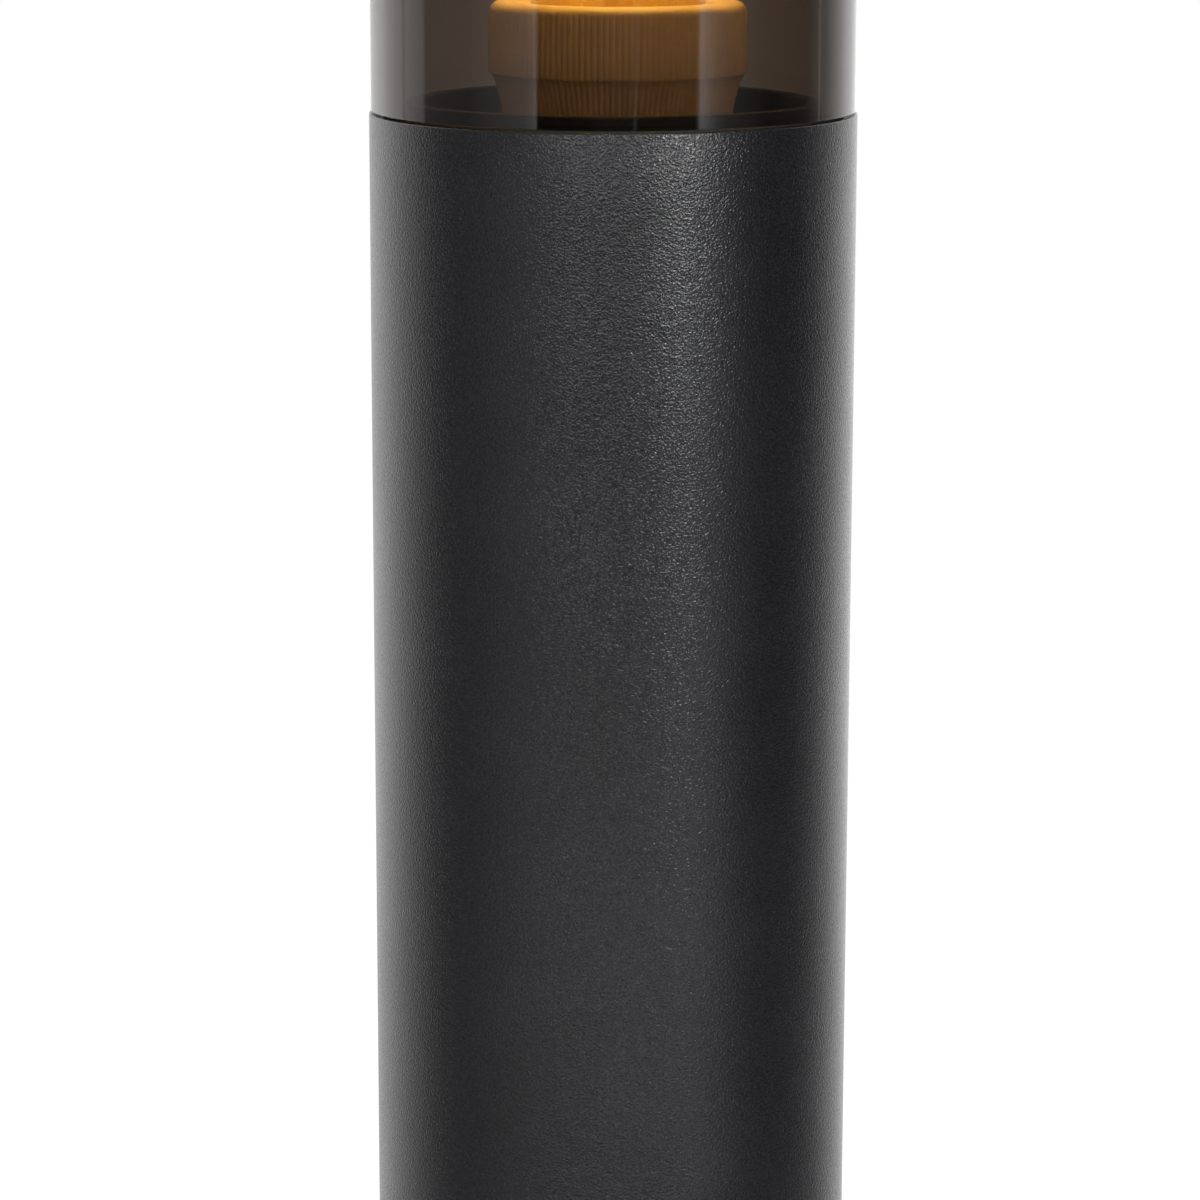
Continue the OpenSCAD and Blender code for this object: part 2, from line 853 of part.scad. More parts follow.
module strap_half() {
    top_bend_x = strap_leg_out + strap_bend;
    low_bend_x = strap_leg_x - strap_bend;
    top_bend_z = strap_top - strap_t - strap_bend + seat;
    low_bend_z = strap_low + strap_t + strap_bend;
    translate([top_bend_x, strap_top - strap_t + seat]) square([strap_end_x - top_bend_x, strap_t]);
    quarter_bend([top_bend_x, top_bend_z], -1, 1);
    translate([strap_leg_x, low_bend_z]) square([strap_t, top_bend_z - low_bend_z]);
    quarter_bend([low_bend_x, low_bend_z], 1, -1);
    translate([0, strap_low]) square([low_bend_x, strap_t]);
}

module bracket_screws() {
    color([0.2, 0.2, 0.2])
        for (side = [-1, 1])
            translate([side * bracket_screw_x, 0, strap_top + 2 * seat])
                socket_screw(bracket_screw_r, strap_t + insert_flange_t, bracket_head_r, bracket_head_h);
}

module holder_screws() {
    color([0.75, 0.75, 0.73])
        for (side = [-1, 1])
            translate([holder_x + side * holder_screw_x, 0, strap_low - seat])
                mirror([0, 0, 1])
                    socket_screw(holder_screw_r, strap_t + holder_screw_depth - 0.5, 3.5, 2.2);
}

// Ribbed outline of the band: each rib has a flat crest and the grooves between them are V-shaped
rib_line = [
    for (i = [0 : ribs - 1])
        for (p = [[-rib_flat / 2, band_r], [rib_flat / 2, band_r], [0.5, rib_root_r]])
            let (a = 360 * (i + p[0]) / ribs)
            p[1] * [cos(a), sin(a)]
];

module lampholder_shell() {
    steps = 6;
    body_r = rib_root_r - rib_ledge;
    centre = [body_r - shoulder_r, band_top];
    lip = 0.8;
    cavity_slope = 3;
    color([0.86, 0.8, 0.68])
        at_holder()
            difference() {
                union() {
                    rotate_extrude() polygon([
                        [0, holder_low + seat],
                        [holder_foot_r, holder_low + seat],
                        [neck_r, band_low - band_under - neck_fall],
                        [waist_r, band_low - band_under],
                        [body_r, band_low],
                        for (s = [0 : steps])
                            centre + shoulder_r * [cos(90 * s / steps), sin(90 * s / steps)],
                        [0, rim_z]
                    ]);
                    translate([0, 0, band_low]) linear_extrude(band_h) polygon(rib_line);
                }
                rotate_extrude() polygon([
                    [0, cavity_low],
                    [cavity_r, cavity_low],
                    [cavity_r, rim_z - mouth_depth - cavity_slope],
                    [mouth_r, rim_z - mouth_depth],
                    [mouth_r, rim_z - lip],
                    [mouth_r + lip, rim_z],
                    [mouth_r + lip, rim_z + past],
                    [0, rim_z + past]
                ]);
                for (side = [-1, 1]) {
                    translate([side * wire_hole_x, wire_hole_y, holder_low - past])
                        cylinder(r = lead_d / 2 + 0.25, h = wire_hole_h + past);
                    translate([side * holder_screw_x, 0, holder_low - past])
                        cylinder(r = holder_screw_r + seat, h = holder_screw_depth + past);
                }
            }
}

// Radius of the thread at a height, as rings
function wave(z, mean_r) = mean_r + thread_wave * cos(360 * (z - thread_low) / thread_pitch);

function thread_line(mean_r, turns) = [
    for (s = [0 : turns * thread_steps])
        let (z = thread_low + s * thread_pitch / thread_steps)
        [wave(z, mean_r), z]
];

function reversed(list) = [for (i = [len(list) - 1 : -1 : 0]) list[i]];

module screw_shell() {
    inside = thread_line(shell_mean_r, thread_turns);
    color([0.8, 0.78, 0.72])
        at_holder()
            rotate_extrude() polygon(concat(
                [[inside[0][0], shell_low]],
                inside,
                reversed([for (p = inside) [p[0] + shell_t, p[1]]]),
                [[cavity_r - seat, thread_low], [cavity_r - seat, shell_low]]
            ));
}

// Spring tongue: a foot on the cavity's floor and a strip that rises to the bulb's contact
module centre_contact() {
    tongue_w = 6;
    strip_t = 0.5;
    floor_z = cavity_low + seat;
    tip_z = contact_z - seat;
    color([0.8, 0.68, 0.35])
        at_holder()
            translate([0, tongue_w / 2, 0])
                rotate([90, 0, 0])
                    linear_extrude(tongue_w)
                        polygon([
                            [-9, floor_z],
                            [-4, floor_z],
                            [-1.5, tip_z - strip_t],
                            [2.5, tip_z - strip_t],
                            [2.5, tip_z],
                            [-1.7, tip_z],
                            [-4.2, floor_z + strip_t],
                            [-9, floor_z + strip_t]
                        ]);
}

// Bulb

// Outline of the glass from its foot to its crown, moved inwards by t
function glass_line(t) =
    let (r = bulb_r - t)
    let (a = [bulb_neck_r - t, bulb_rim_z])
    let (d = [r * sin(tangent_angle), bulb_centre - r * cos(tangent_angle)])
    let (b = a + [neck_flare, neck_rise])
    let (c = d - tangent_pull * [cos(tangent_angle), sin(tangent_angle)])
    concat(
        [
            for (s = [0 : curve_steps])
                let (u = s / curve_steps)
                let (w = 1 - u)
                w * w * w * a + 3 * w * w * u * b + 3 * w * u * u * c + u * u * u * d
        ],
        [
            for (s = [1 : dome_steps])
                let (f = tangent_angle + (180 - tangent_angle) * s / dome_steps)
                [max(r * sin(f), 0), bulb_centre - r * cos(f)]
        ]
    );

module bulb_glass() {
    outside = concat([[bulb_neck_r, glass_low]], glass_line(0));
    inside = concat([[bulb_neck_r - glass_t, glass_low]], glass_line(glass_t));
    color([0.95, 0.75, 0.4, 0.5])
        at_holder()
            rotate_extrude() polygon(concat(outside, reversed(inside)));
}

module bulb_stem() {
    flare_r = bulb_neck_r - glass_t - seat;
    color([0.9, 0.88, 0.82, 0.6])
        at_holder()
            rotate_extrude() polygon([
                [0, glass_low],
                [flare_r, glass_low],
                [flare_r, glass_low + 1.5],
                [flare_r * 0.57, glass_low + 3.5],
                [stem_r, glass_low + stem_foot_h],
                [stem_r, stem_top - 2],
                [stem_r - 1, stem_top],
                [0, stem_top]
            ]);
}

function around(i, r, z) = [
    r * cos(45 + 360 * i / filament_count),
    r * sin(45 + 360 * i / filament_count),
    z
];

module filaments() {
    color([1, 0.75, 0.3])
        at_holder()
            for (i = [0 : filament_count - 1])
                rod(
                    around(i, filament_low_r, filament_low),
                    around(i, filament_top_r, filament_top),
                    filament_r
                );
}

// A mast on the stem with an arm over each filament's top end, and an arm under each lower end
module filament_wires() {
    reach = wire_r + filament_r * 0.3 + seat;
    arm_low = filament_low - reach;
    arm_top = filament_top + reach;
    color([0.75, 0.72, 0.68])
        at_holder() {
            rod([0, 0, stem_top + seat], [0, 0, arm_top + wire_r], wire_r);
            for (i = [0 : filament_count - 1]) {
                rod([0, 0, arm_top], around(i, filament_top_r, arm_top), wire_r);
                rod(around(i, stem_r + seat, arm_low), around(i, filament_low_r, arm_low), wire_r);
            }
        }
}

module bulb_cap() {
    outside = thread_line(thread_mean_r, thread_turns);
    inside = [for (p = outside) [p[0] - cap_shell_t, p[1]]];
    foot_r = thread_mean_r * 0.71;
    foot_z = thread_low - 2;
    thread_top = outside[len(outside) - 1][1];
    color([0.82, 0.8, 0.76])
        at_holder()
            rotate_extrude() polygon(concat(
                [[foot_r - cap_shell_t, foot_z], [foot_r, foot_z]],
                outside,
                [[skirt_cap_r, thread_top + 0.6], [skirt_cap_r, bulb_rim_z]],
                [[skirt_cap_r - cap_shell_t, bulb_rim_z], [skirt_cap_r - cap_shell_t, thread_top + 0.9]],
                reversed(inside)
            ));
}

module bulb_insulator() {
    color([0.06, 0.06, 0.07])
        at_holder()
            rotate_extrude() polygon([
                [0, contact_z + 1],
                [5, contact_z + 1],
                [8.4, thread_low - 2 - seat],
                [8.4, thread_low - 1],
                [0, thread_low - 1]
            ]);
}

module bulb_contact() {
    color([0.75, 0.74, 0.7])
        at_holder()
            translate([0, 0, contact_z]) cylinder(r1 = 3.5, r2 = 4.6, h = 1 - seat);
}

post_tube();
foot_casting();
foot_o_ring();
foot_screws();
cable_grommet();
terminal_block();
terminal_sleeves();
terminal_screws();
block_screws();
earth_screw();
earth_washer();
earth_lug();
lead_live();
lead_neutral();
lead_earth();
post_insert();
lock_screw();
head_ring();
diffuser_seal();
diffuser();
cap_seal();
cap_ring();
cap_screws();
cap();
lampholder_bracket();
bracket_screws();
holder_screws();
lampholder_shell();
screw_shell();
centre_contact();
bulb_glass();
bulb_stem();
filaments();
filament_wires();
bulb_cap();
bulb_insulator();
bulb_contact();
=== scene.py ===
import json
import math

import bmesh
import bpy
from mathutils import Matrix


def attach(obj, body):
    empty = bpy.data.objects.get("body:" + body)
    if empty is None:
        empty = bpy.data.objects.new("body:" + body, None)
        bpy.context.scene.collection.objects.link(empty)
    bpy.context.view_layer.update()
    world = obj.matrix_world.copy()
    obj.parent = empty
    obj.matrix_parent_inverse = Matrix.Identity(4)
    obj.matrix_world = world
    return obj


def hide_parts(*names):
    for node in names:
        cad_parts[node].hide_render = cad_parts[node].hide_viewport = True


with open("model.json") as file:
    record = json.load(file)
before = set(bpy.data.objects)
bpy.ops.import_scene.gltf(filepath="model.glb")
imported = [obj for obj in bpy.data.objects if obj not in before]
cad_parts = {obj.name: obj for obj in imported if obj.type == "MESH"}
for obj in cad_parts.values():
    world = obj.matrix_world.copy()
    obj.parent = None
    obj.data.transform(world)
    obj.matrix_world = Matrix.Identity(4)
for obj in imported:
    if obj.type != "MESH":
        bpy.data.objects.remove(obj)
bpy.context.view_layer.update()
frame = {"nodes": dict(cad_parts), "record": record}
scene = bpy.context.scene
scene.view_settings.view_transform = "Standard"

mm = 0.001  # the pieces have their sizes in millimetres and their turns in degrees


# small helpers

def toLinear(hexColour):
    values = [int(hexColour[i:i + 2], 16) / 255 for i in (1, 3, 5)]
    linear = [v / 12.92 if v <= 0.04045 else ((v + 0.055) / 1.055) ** 2.4 for v in values]
    return (*linear, 1)


def addNode(tree, kind, values=None, links=None, stops=None, **settings):
    # stops are the places and tones of a colour ramp, from left to right
    node = tree.nodes.new(kind)
    for name, value in settings.items():
        setattr(node, name, value)
    for name, value in (values or {}).items():
        node.inputs[name].default_value = value
    for name, socket in (links or {}).items():
        tree.links.new(socket, node.inputs[name])
    if stops:
        points = node.color_ramp.elements
        points.remove(points[-1])
        points[0].position, points[0].color = stops[0]
        for place, tone in stops[1:]:
            points.new(place).color = tone
    return node


def newMaterial(name):
    material = bpy.data.materials.new(name)
    material.use_nodes = True
    material.node_tree.nodes.clear()
    return material, material.node_tree


# camera, at the photograph's viewing angle

cameraSet = {
    "place": (-0.00229, -0.7545, 0.41558),
    "pitch": 78.199,  # from straight down
    "roll": 0.105,
    "lens": 122.3,
    "sensor": 36,
}


def addCamera(s):
    pitch = Matrix.Rotation(math.radians(s["pitch"]), 3, "X")
    roll = Matrix.Rotation(math.radians(s["roll"]), 3, "Z")
    bpy.ops.object.camera_add(location=s["place"], rotation=(pitch @ roll).to_euler())
    camera = bpy.context.object
    camera.name = "photoCamera"
    camera.data.sensor_width = s["sensor"]
    camera.data.lens = s["lens"]
    scene.camera = camera


addCamera(cameraSet)
print("camera placed")


# studio: white sweep, dim room, lamps in front, above and behind, and one low down for the foot of the post

studioSet = {
    # brightness of the studio's walls as gloss sees them, by direction round the light:
    # 0 is where the camera stands, 90 is to the right; the narrow steps are gaps and frames between the walls
    "walls": [
        (-165, 0.95), (-140, 1.42), (-117.4, 1.12), (-116.1, 0.6), (-114.8, 1.1), (-100.5, 0.8), (-98.5, 0.26),
        (-72, 0.24), (-42, 0.63), (-37.3, 0.95), (-35.8, 1.4), (-35.2, 0.015), (-9.8, 0.015), (-9.4, 0.06),
        (9.7, 0.05), (10.3, 1.25), (10.9, 0.03), (39.2, 0.03), (39.9, 1.5), (41.5, 1.5),
        (44.4, 1.0), (48.9, 0.55), (54, 0.3), (76, 0.07), (103, 0.09), (111.2, 0.28), (112.5, 0.68),
        (113.8, 0.34), (119, 0.44), (126, 0.74), (141, 1.34), (165, 1.42),
    ],
    "roomLight": 0.32,  # even light on matt surfaces
    "floorSize": 40,
    "floorTone": "#cfcfcf",
    "nearGlow": 0.72,  # what the floor gives of itself beside the post, so its shadow still shows
    "farGlow": 1.0,
    "paperHidden": 0.75,  # how much of the lit paper gloss doesn't see
    "nearReach": 0.45,  # metres from the light to where the lit paper begins to fade into plain glow
    "farReach": 1.1,  # and to where it has gone
    "lampsAim": 0.3,  # the height all lamps look at
}


def wallsTone(tree, direction):
    # the gradient runs once round, so it is turned to start behind the light
    turned = addNode(tree, "ShaderNodeMapping", values={"Rotation": (0, 0, math.radians(90))},
                     links={"Vector": direction})
    around = addNode(tree, "ShaderNodeTexGradient", gradient_type="RADIAL",
                     links={"Vector": turned.outputs["Vector"]})
    stops = [(turn / 360 + 0.5, (tone, tone, tone, 1)) for turn, tone in studioSet["walls"]]
    return addNode(tree, "ShaderNodeValToRGB", stops=stops, links={"Fac": around.outputs["Fac"]}).outputs["Color"]


def buildWorld(s):
    world = bpy.data.worlds.new("studioRoom")
    scene.world = world
    world.use_nodes = True
    world.cycles.sampling_method = "NONE"
    tree = world.node_tree
    tree.nodes.clear()
    path = addNode(tree, "ShaderNodeLightPath")
    place = addNode(tree, "ShaderNodeTexCoord")
    room = (s["roomLight"], s["roomLight"], s["roomLight"], 1)
    mirrored = addNode(tree, "ShaderNodeMix", data_type="RGBA", values={"A": room},
                       links={"Factor": path.outputs["Is Glossy Ray"],
                              "B": wallsTone(tree, place.outputs["Generated"])})
    # the camera sees plain white, itself or through the smoke tube
    seen = addNode(tree, "ShaderNodeMath", operation="MAXIMUM",
                   links={0: path.outputs["Is Camera Ray"], 1: path.outputs["Is Transmission Ray"]})
    tone = addNode(tree, "ShaderNodeMix", data_type="RGBA", values={"B": (1, 1, 1, 1)},
                   links={"Factor": seen.outputs[0], "A": mirrored.outputs["Result"]})
    back = addNode(tree, "ShaderNodeBackground", links={"Color": tone.outputs["Result"]})
    addNode(tree, "ShaderNodeOutputWorld", links={"Surface": back.outputs[0]})


def buildFloor(s):
    bpy.ops.mesh.primitive_plane_add(size=s["floorSize"], location=(0, 0, 0))
    floor = bpy.context.object
    floor.name = "paperSweep"
    material, tree = newMaterial("whitePaperSweep")
    material.cycles.emission_sampling = "NONE"  # its glow lights nothing, so no ray looks for it
    path = addNode(tree, "ShaderNodeLightPath")
    place = addNode(tree, "ShaderNodeTexCoord").outputs["Object"]
    away = addNode(tree, "ShaderNodeVectorMath", operation="LENGTH", links={0: place})
    far = addNode(tree, "ShaderNodeMapRange", interpolation_type="SMOOTHSTEP",
                  values={"From Min": s["nearReach"], "From Max": s["farReach"], "To Min": 0.0, "To Max": 1.0},
                  links={"Value": away.outputs["Value"]})
    glow = addNode(tree, "ShaderNodeMapRange", interpolation_type="SMOOTHSTEP",
                   values={"From Min": s["nearReach"], "From Max": s["farReach"],
                           "To Min": s["nearGlow"], "To Max": s["farGlow"]},
                   links={"Value": away.outputs["Value"]})
    seen = addNode(tree, "ShaderNodeMath", operation="MAXIMUM",
                   links={0: path.outputs["Is Camera Ray"], 1: path.outputs["Is Transmission Ray"]})
    mirrored = addNode(tree, "ShaderNodeMath", operation="SUBTRACT", use_clamp=True,
                       links={0: path.outputs["Is Glossy Ray"], 1: seen.outputs[0]})
    seenGlow = addNode(tree, "ShaderNodeMath", operation="MULTIPLY",
                       links={0: seen.outputs[0], 1: glow.outputs["Result"]})
    mirroredGlow = addNode(tree, "ShaderNodeMath", operation="MULTIPLY",
                           links={0: mirrored.outputs[0], 1: glow.outputs["Result"]})
    white = addNode(tree, "ShaderNodeEmission", links={"Strength": seenGlow.outputs[0]})
    walls = addNode(tree, "ShaderNodeEmission",
                    links={"Color": wallsTone(tree, place), "Strength": mirroredGlow.outputs[0]})
    # far off, and for most of what gloss sees, the paper gives only its own glow
    dimmed = addNode(tree, "ShaderNodeMath", operation="MULTIPLY", values={1: s["paperHidden"]},
                     links={0: mirrored.outputs[0]})
    hidden = addNode(tree, "ShaderNodeMath", operation="MAXIMUM",
                     links={0: far.outputs["Result"], 1: dimmed.outputs[0]})
    paper = addNode(tree, "ShaderNodeBsdfDiffuse", values={"Color": toLinear(s["floorTone"])})
    black = addNode(tree, "ShaderNodeBsdfDiffuse", values={"Color": (0, 0, 0, 1)})
    lit = addNode(tree, "ShaderNodeMixShader",
                  links={"Fac": hidden.outputs[0], 1: paper.outputs[0], 2: black.outputs[0]})
    glows = addNode(tree, "ShaderNodeAddShader", links={0: walls.outputs[0], 1: white.outputs[0]})
    together = addNode(tree, "ShaderNodeAddShader", links={0: glows.outputs[0], 1: lit.outputs[0]})
    addNode(tree, "ShaderNodeOutputMaterial", links={"Surface": together.outputs[0]})
    floor.data.materials.append(material)


lampSet = {
    # direction round the light, height angle, distance, width, height, brightness of its face;
    # the smoke tube in the picture would mirror a lamp that reaches into the heights from 0.22 to 0.32
    "keyBox": (32, 8, 1.3, 0.2, 0.24, 34.0),
    "midBox": (7, 8, 1.4, 0.34, 0.3, 7.0),
    "fillBox": (-18, 8, 1.4, 0.5, 0.3, 6.0),
    "lowBox": (5, -28.7, 0.5, 0.72, 0.1, 1.6),
    "highBox": (24, 42, 1.5, 1.3, 0.4, 5.0),
    "topBox": (0, 85, 1.5, 0.9, 0.9, 0.8),
    "backBox": (170, 35, 1.5, 0.9, 0.6, 1.0),
}


def addLamps(lamps, aim):
    for name, (turn, lift, far, width, height, tone) in lamps.items():
        a, e = math.radians(turn), math.radians(lift)
        out = (math.sin(a) * math.cos(e), -math.cos(a) * math.cos(e), math.sin(e))
        bpy.ops.object.light_add(type="AREA", location=(far * out[0], far * out[1], aim + far * out[2]),
                                 rotation=(math.radians(90 - lift), 0, a))
        lamp = bpy.context.object
        lamp.name = name
        lamp.data.shape = "RECTANGLE"
        lamp.data.size = width
        lamp.data.size_y = height
        lamp.data.energy = tone * math.pi * width * height  # at 1 its face is as bright as the paper
        lamp.visible_camera = False
        lamp.visible_transmission = False


buildWorld(studioSet)
buildFloor(studioSet)
addLamps(lampSet, studioSet["lampsAim"])
print("studio lit")


# materials, each named for what it is and how it was made

noiseLow = 0.3  # a noise swings between about these
noiseHigh = 0.7
noiseRough = 0.55

powderSet = {
    # the two tones of the base colour: painted shade in the pimples' pits, painted light on their peaks
    "paintedPitShade": "#09090b",
    "paintedPeakLight": "#1f1f23",
    "grain": 0.4 * mm,  # width of one leathery pimple
    "depth": 0.118 * mm,
    "strength": 1.0,
    "cloud": 18 * mm,  # the powder lies a little thicker in places
    "cloudShare": 0.3,
    "polished": 0.17,
    "rough": 0.25,
    "ior": 1.46,
}


def blackPowderCoat(s):
    # polyester powder sprayed and baked on aluminium: a leathery grain that breaks every highlight into specks,
    # with painted shade in its pits and painted light on its peaks
    material, tree = newMaterial("blackPowderCoat")
    place = addNode(tree, "ShaderNodeTexCoord").outputs["Object"]
    pimples = addNode(tree, "ShaderNodeTexNoise",
                      values={"Scale": 1 / s["grain"], "Detail": 1.0, "Roughness": noiseRough},
                      links={"Vector": place})
    cloud = addNode(tree, "ShaderNodeTexNoise",
                    values={"Scale": 1 / s["cloud"], "Detail": 2.0, "Roughness": noiseRough},
                    links={"Vector": place})
    uneven = addNode(tree, "ShaderNodeMath", operation="MULTIPLY_ADD",
                     values={1: s["cloudShare"], 2: -s["cloudShare"] / 2}, links={0: cloud.outputs["Fac"]})
    height = addNode(tree, "ShaderNodeMath", operation="ADD",
                     links={0: pimples.outputs["Fac"], 1: uneven.outputs[0]})
    # the base colour follows the height: painted shade in the pits, painted light on the peaks, shifted at random
    # where the powder lies thicker
    tone = addNode(tree, "ShaderNodeValToRGB",
                   stops=[(noiseLow, toLinear(s["paintedPitShade"])), (noiseHigh, toLinear(s["paintedPeakLight"]))],
                   links={"Fac": height.outputs[0]})
    sheen = addNode(tree, "ShaderNodeMapRange",
                    values={"From Min": noiseLow, "From Max": noiseHigh,
                            "To Min": s["rough"], "To Max": s["polished"]},
                    links={"Value": height.outputs[0]})
    skin = addNode(tree, "ShaderNodeBump", values={"Strength": s["strength"], "Distance": s["depth"]},
                   links={"Height": pimples.outputs["Fac"]})
    shader = addNode(tree, "ShaderNodeBsdfPrincipled", values={"IOR": s["ior"]},
                     links={"Base Color": tone.outputs["Color"], "Roughness": sheen.outputs["Result"],
                            "Normal": skin.outputs["Normal"]})
    addNode(tree, "ShaderNodeOutputMaterial", links={"Surface": shader.outputs[0]})
    return material


anodisedSet = {
    "dark": "#050506",
    "light": "#0a0a0c",
    "cloud": 6 * mm,
    "ring": 0.754 * mm,  # from one lathe ring to the next, coarser than real so that it shows
    "depth": 0.003 * mm,
    "strength": 0.5,
    "rough": (0.3, 0.4),
    "ior": 1.27,  # lower than the oxide's own, as its dyed pores swallow light
}


def blackAnodised(s):
    # turned aluminium, dyed black in the anodising bath: fine lathe rings under a satin skin
    material, tree = newMaterial("blackAnodised")
    place = addNode(tree, "ShaderNodeTexCoord").outputs["Object"]
    rings = addNode(tree, "ShaderNodeTexWave", wave_type="RINGS", rings_direction="Z",
                    values={"Scale": math.pi / 10 / s["ring"], "Distortion": 0.3, "Detail": 1.0},
                    links={"Vector": place})
    cloud = addNode(tree, "ShaderNodeTexNoise",
                    values={"Scale": 1 / s["cloud"], "Detail": 2.0, "Roughness": noiseRough},
                    links={"Vector": place})
    tone = addNode(tree, "ShaderNodeValToRGB",
                   stops=[(noiseLow, toLinear(s["dark"])), (noiseHigh, toLinear(s["light"]))],
                   links={"Fac": cloud.outputs["Fac"]})
    low, high = s["rough"]
    sheen = addNode(tree, "ShaderNodeMapRange",
                    values={"From Min": noiseLow, "From Max": noiseHigh, "To Min": low, "To Max": high},
                    links={"Value": cloud.outputs["Fac"]})
    skin = addNode(tree, "ShaderNodeBump", values={"Strength": s["strength"], "Distance": s["depth"]},
                   links={"Height": rings.outputs["Fac"]})
    shader = addNode(tree, "ShaderNodeBsdfPrincipled", values={"IOR": s["ior"]},
                     links={"Base Color": tone.outputs["Color"], "Roughness": sheen.outputs["Result"],
                            "Normal": skin.outputs["Normal"]})
    addNode(tree, "ShaderNodeOutputMaterial", links={"Surface": shader.outputs[0]})
    return material


smokeSet = {
    "kept": (0.238, 0.131, 0.03),  # what the dye lets by, more red than blue
    "density": 300,  # per metre: a 6 mm wall keeps about a fifth of the light
    "lines": 2.6 * mm,  # faint lines along the tube, from the die
    "stretch": 0.02,
    "depth": 0.0004 * mm,
    "strength": 0.5,
    "rough": 0.02,
    "ior": 1.53,  # a little over acrylic's own, for its bright edges
}


def smokeAcrylic(s):
    # extruded acrylic, dyed smoke brown: the dye is in its thickness, so edges go deep and then mirror bright
    material, tree = newMaterial("smokeAcrylic")
    place = addNode(tree, "ShaderNodeTexCoord").outputs["Object"]
    drawn = addNode(tree, "ShaderNodeMapping", values={"Scale": (1, 1, s["stretch"])}, links={"Vector": place})
    lines = addNode(tree, "ShaderNodeTexNoise",
                    values={"Scale": 1 / s["lines"], "Detail": 1.0, "Roughness": noiseRough},
                    links={"Vector": drawn.outputs["Vector"]})
    skin = addNode(tree, "ShaderNodeBump", values={"Strength": s["strength"], "Distance": s["depth"]},
                   links={"Height": lines.outputs["Fac"]})
    body = addNode(tree, "ShaderNodeBsdfPrincipled",
                   values={"IOR": s["ior"], "Transmission Weight": 1.0, "Base Color": (1, 1, 1, 1),
                           "Roughness": s["rough"]},
                   links={"Normal": skin.outputs["Normal"]})
    # lamps shine in through it
    clear = addNode(tree, "ShaderNodeBsdfTransparent", values={"Color": (1, 1, 1, 1)})
    path = addNode(tree, "ShaderNodeLightPath")
    mixed = addNode(tree, "ShaderNodeMixShader",
                    links={"Fac": path.outputs["Is Shadow Ray"], 1: body.outputs[0], 2: clear.outputs[0]})
    dye = addNode(tree, "ShaderNodeVolumeAbsorption", values={"Color": (*s["kept"], 1), "Density": s["density"]})
    addNode(tree, "ShaderNodeOutputMaterial", links={"Surface": mixed.outputs[0], "Volume": dye.outputs[0]})
    return material


bulbGlassSet = {
    "tint": "#fff4da",
    "shade": "#fffae6",
    "wave": 14 * mm,
    "depth": 0.02 * mm,
    "strength": 0.4,
    "ior": 1.52,
}


def blownGlass(s):
    # soda-lime glass blown in a mould, faintly gold: thin, clear, with soft waves where it was turned
    material, tree = newMaterial("blownGlass")
    place = addNode(tree, "ShaderNodeTexCoord").outputs["Object"]
    wave = addNode(tree, "ShaderNodeTexNoise",
                   values={"Scale": 1 / s["wave"], "Detail": 1.0, "Roughness": noiseRough},
                   links={"Vector": place})
    skin = addNode(tree, "ShaderNodeBump", values={"Strength": s["strength"], "Distance": s["depth"]},
                   links={"Height": wave.outputs["Fac"]})
    body = addNode(tree, "ShaderNodeBsdfPrincipled",
                   values={"IOR": s["ior"], "Transmission Weight": 1.0, "Base Color": toLinear(s["tint"]),
                           "Roughness": 0.0},
                   links={"Normal": skin.outputs["Normal"]})
    clear = addNode(tree, "ShaderNodeBsdfTransparent", values={"Color": toLinear(s["shade"])})
    path = addNode(tree, "ShaderNodeLightPath")
    mixed = addNode(tree, "ShaderNodeMixShader",
                    links={"Fac": path.outputs["Is Shadow Ray"], 1: body.outputs[0], 2: clear.outputs[0]})
    addNode(tree, "ShaderNodeOutputMaterial", links={"Surface": mixed.outputs[0]})
    return material


earthSet = {
    "green": "#3e7d2c",
    "yellow": "#d9c62a",
    "stripe": 16.96 * mm,
    "grain": 0.5 * mm,
    "depth": 0.01 * mm,
    "strength": 0.6,
    "rough": (0.45, 0.6),
    "edges": (0.46, 0.54),  # where green gives way to yellow
}


def greenYellowSilicone(s):
    # earth lead: yellow stripes moulded into green insulation
    material, tree = newMaterial("greenYellowSilicone")
    place = addNode(tree, "ShaderNodeTexCoord").outputs["Object"]
    stripes = addNode(tree, "ShaderNodeTexWave", bands_direction="DIAGONAL",
                      values={"Scale": math.pi / 5 / s["stripe"], "Distortion": 0.0}, links={"Vector": place})
    fine = addNode(tree, "ShaderNodeTexNoise",
                   values={"Scale": 1 / s["grain"], "Detail": 3.0, "Roughness": noiseRough},
                   links={"Vector": place})
    tone = addNode(tree, "ShaderNodeValToRGB",
                   stops=[(s["edges"][0], toLinear(s["green"])), (s["edges"][1], toLinear(s["yellow"]))],
                   links={"Fac": stripes.outputs["Fac"]})
    low, high = s["rough"]
    sheen = addNode(tree, "ShaderNodeMapRange",
                    values={"From Min": noiseLow, "From Max": noiseHigh, "To Min": low, "To Max": high},
                    links={"Value": fine.outputs["Fac"]})
    skin = addNode(tree, "ShaderNodeBump", values={"Strength": s["strength"], "Distance": s["depth"]},
                   links={"Height": fine.outputs["Fac"]})
    shader = addNode(tree, "ShaderNodeBsdfPrincipled",
                     links={"Base Color": tone.outputs["Color"], "Roughness": sheen.outputs["Result"],
                            "Normal": skin.outputs["Normal"]})
    addNode(tree, "ShaderNodeOutputMaterial", links={"Surface": shader.outputs[0]})
    return material


filamentSet = {
    "core": "#ffe992",
    "rim": "#ffe17c",
    "edges": (0.2, 0.8),
    "band": 8.8 * mm,
    "rough": 0.5,
    "glow": 350.0,
}


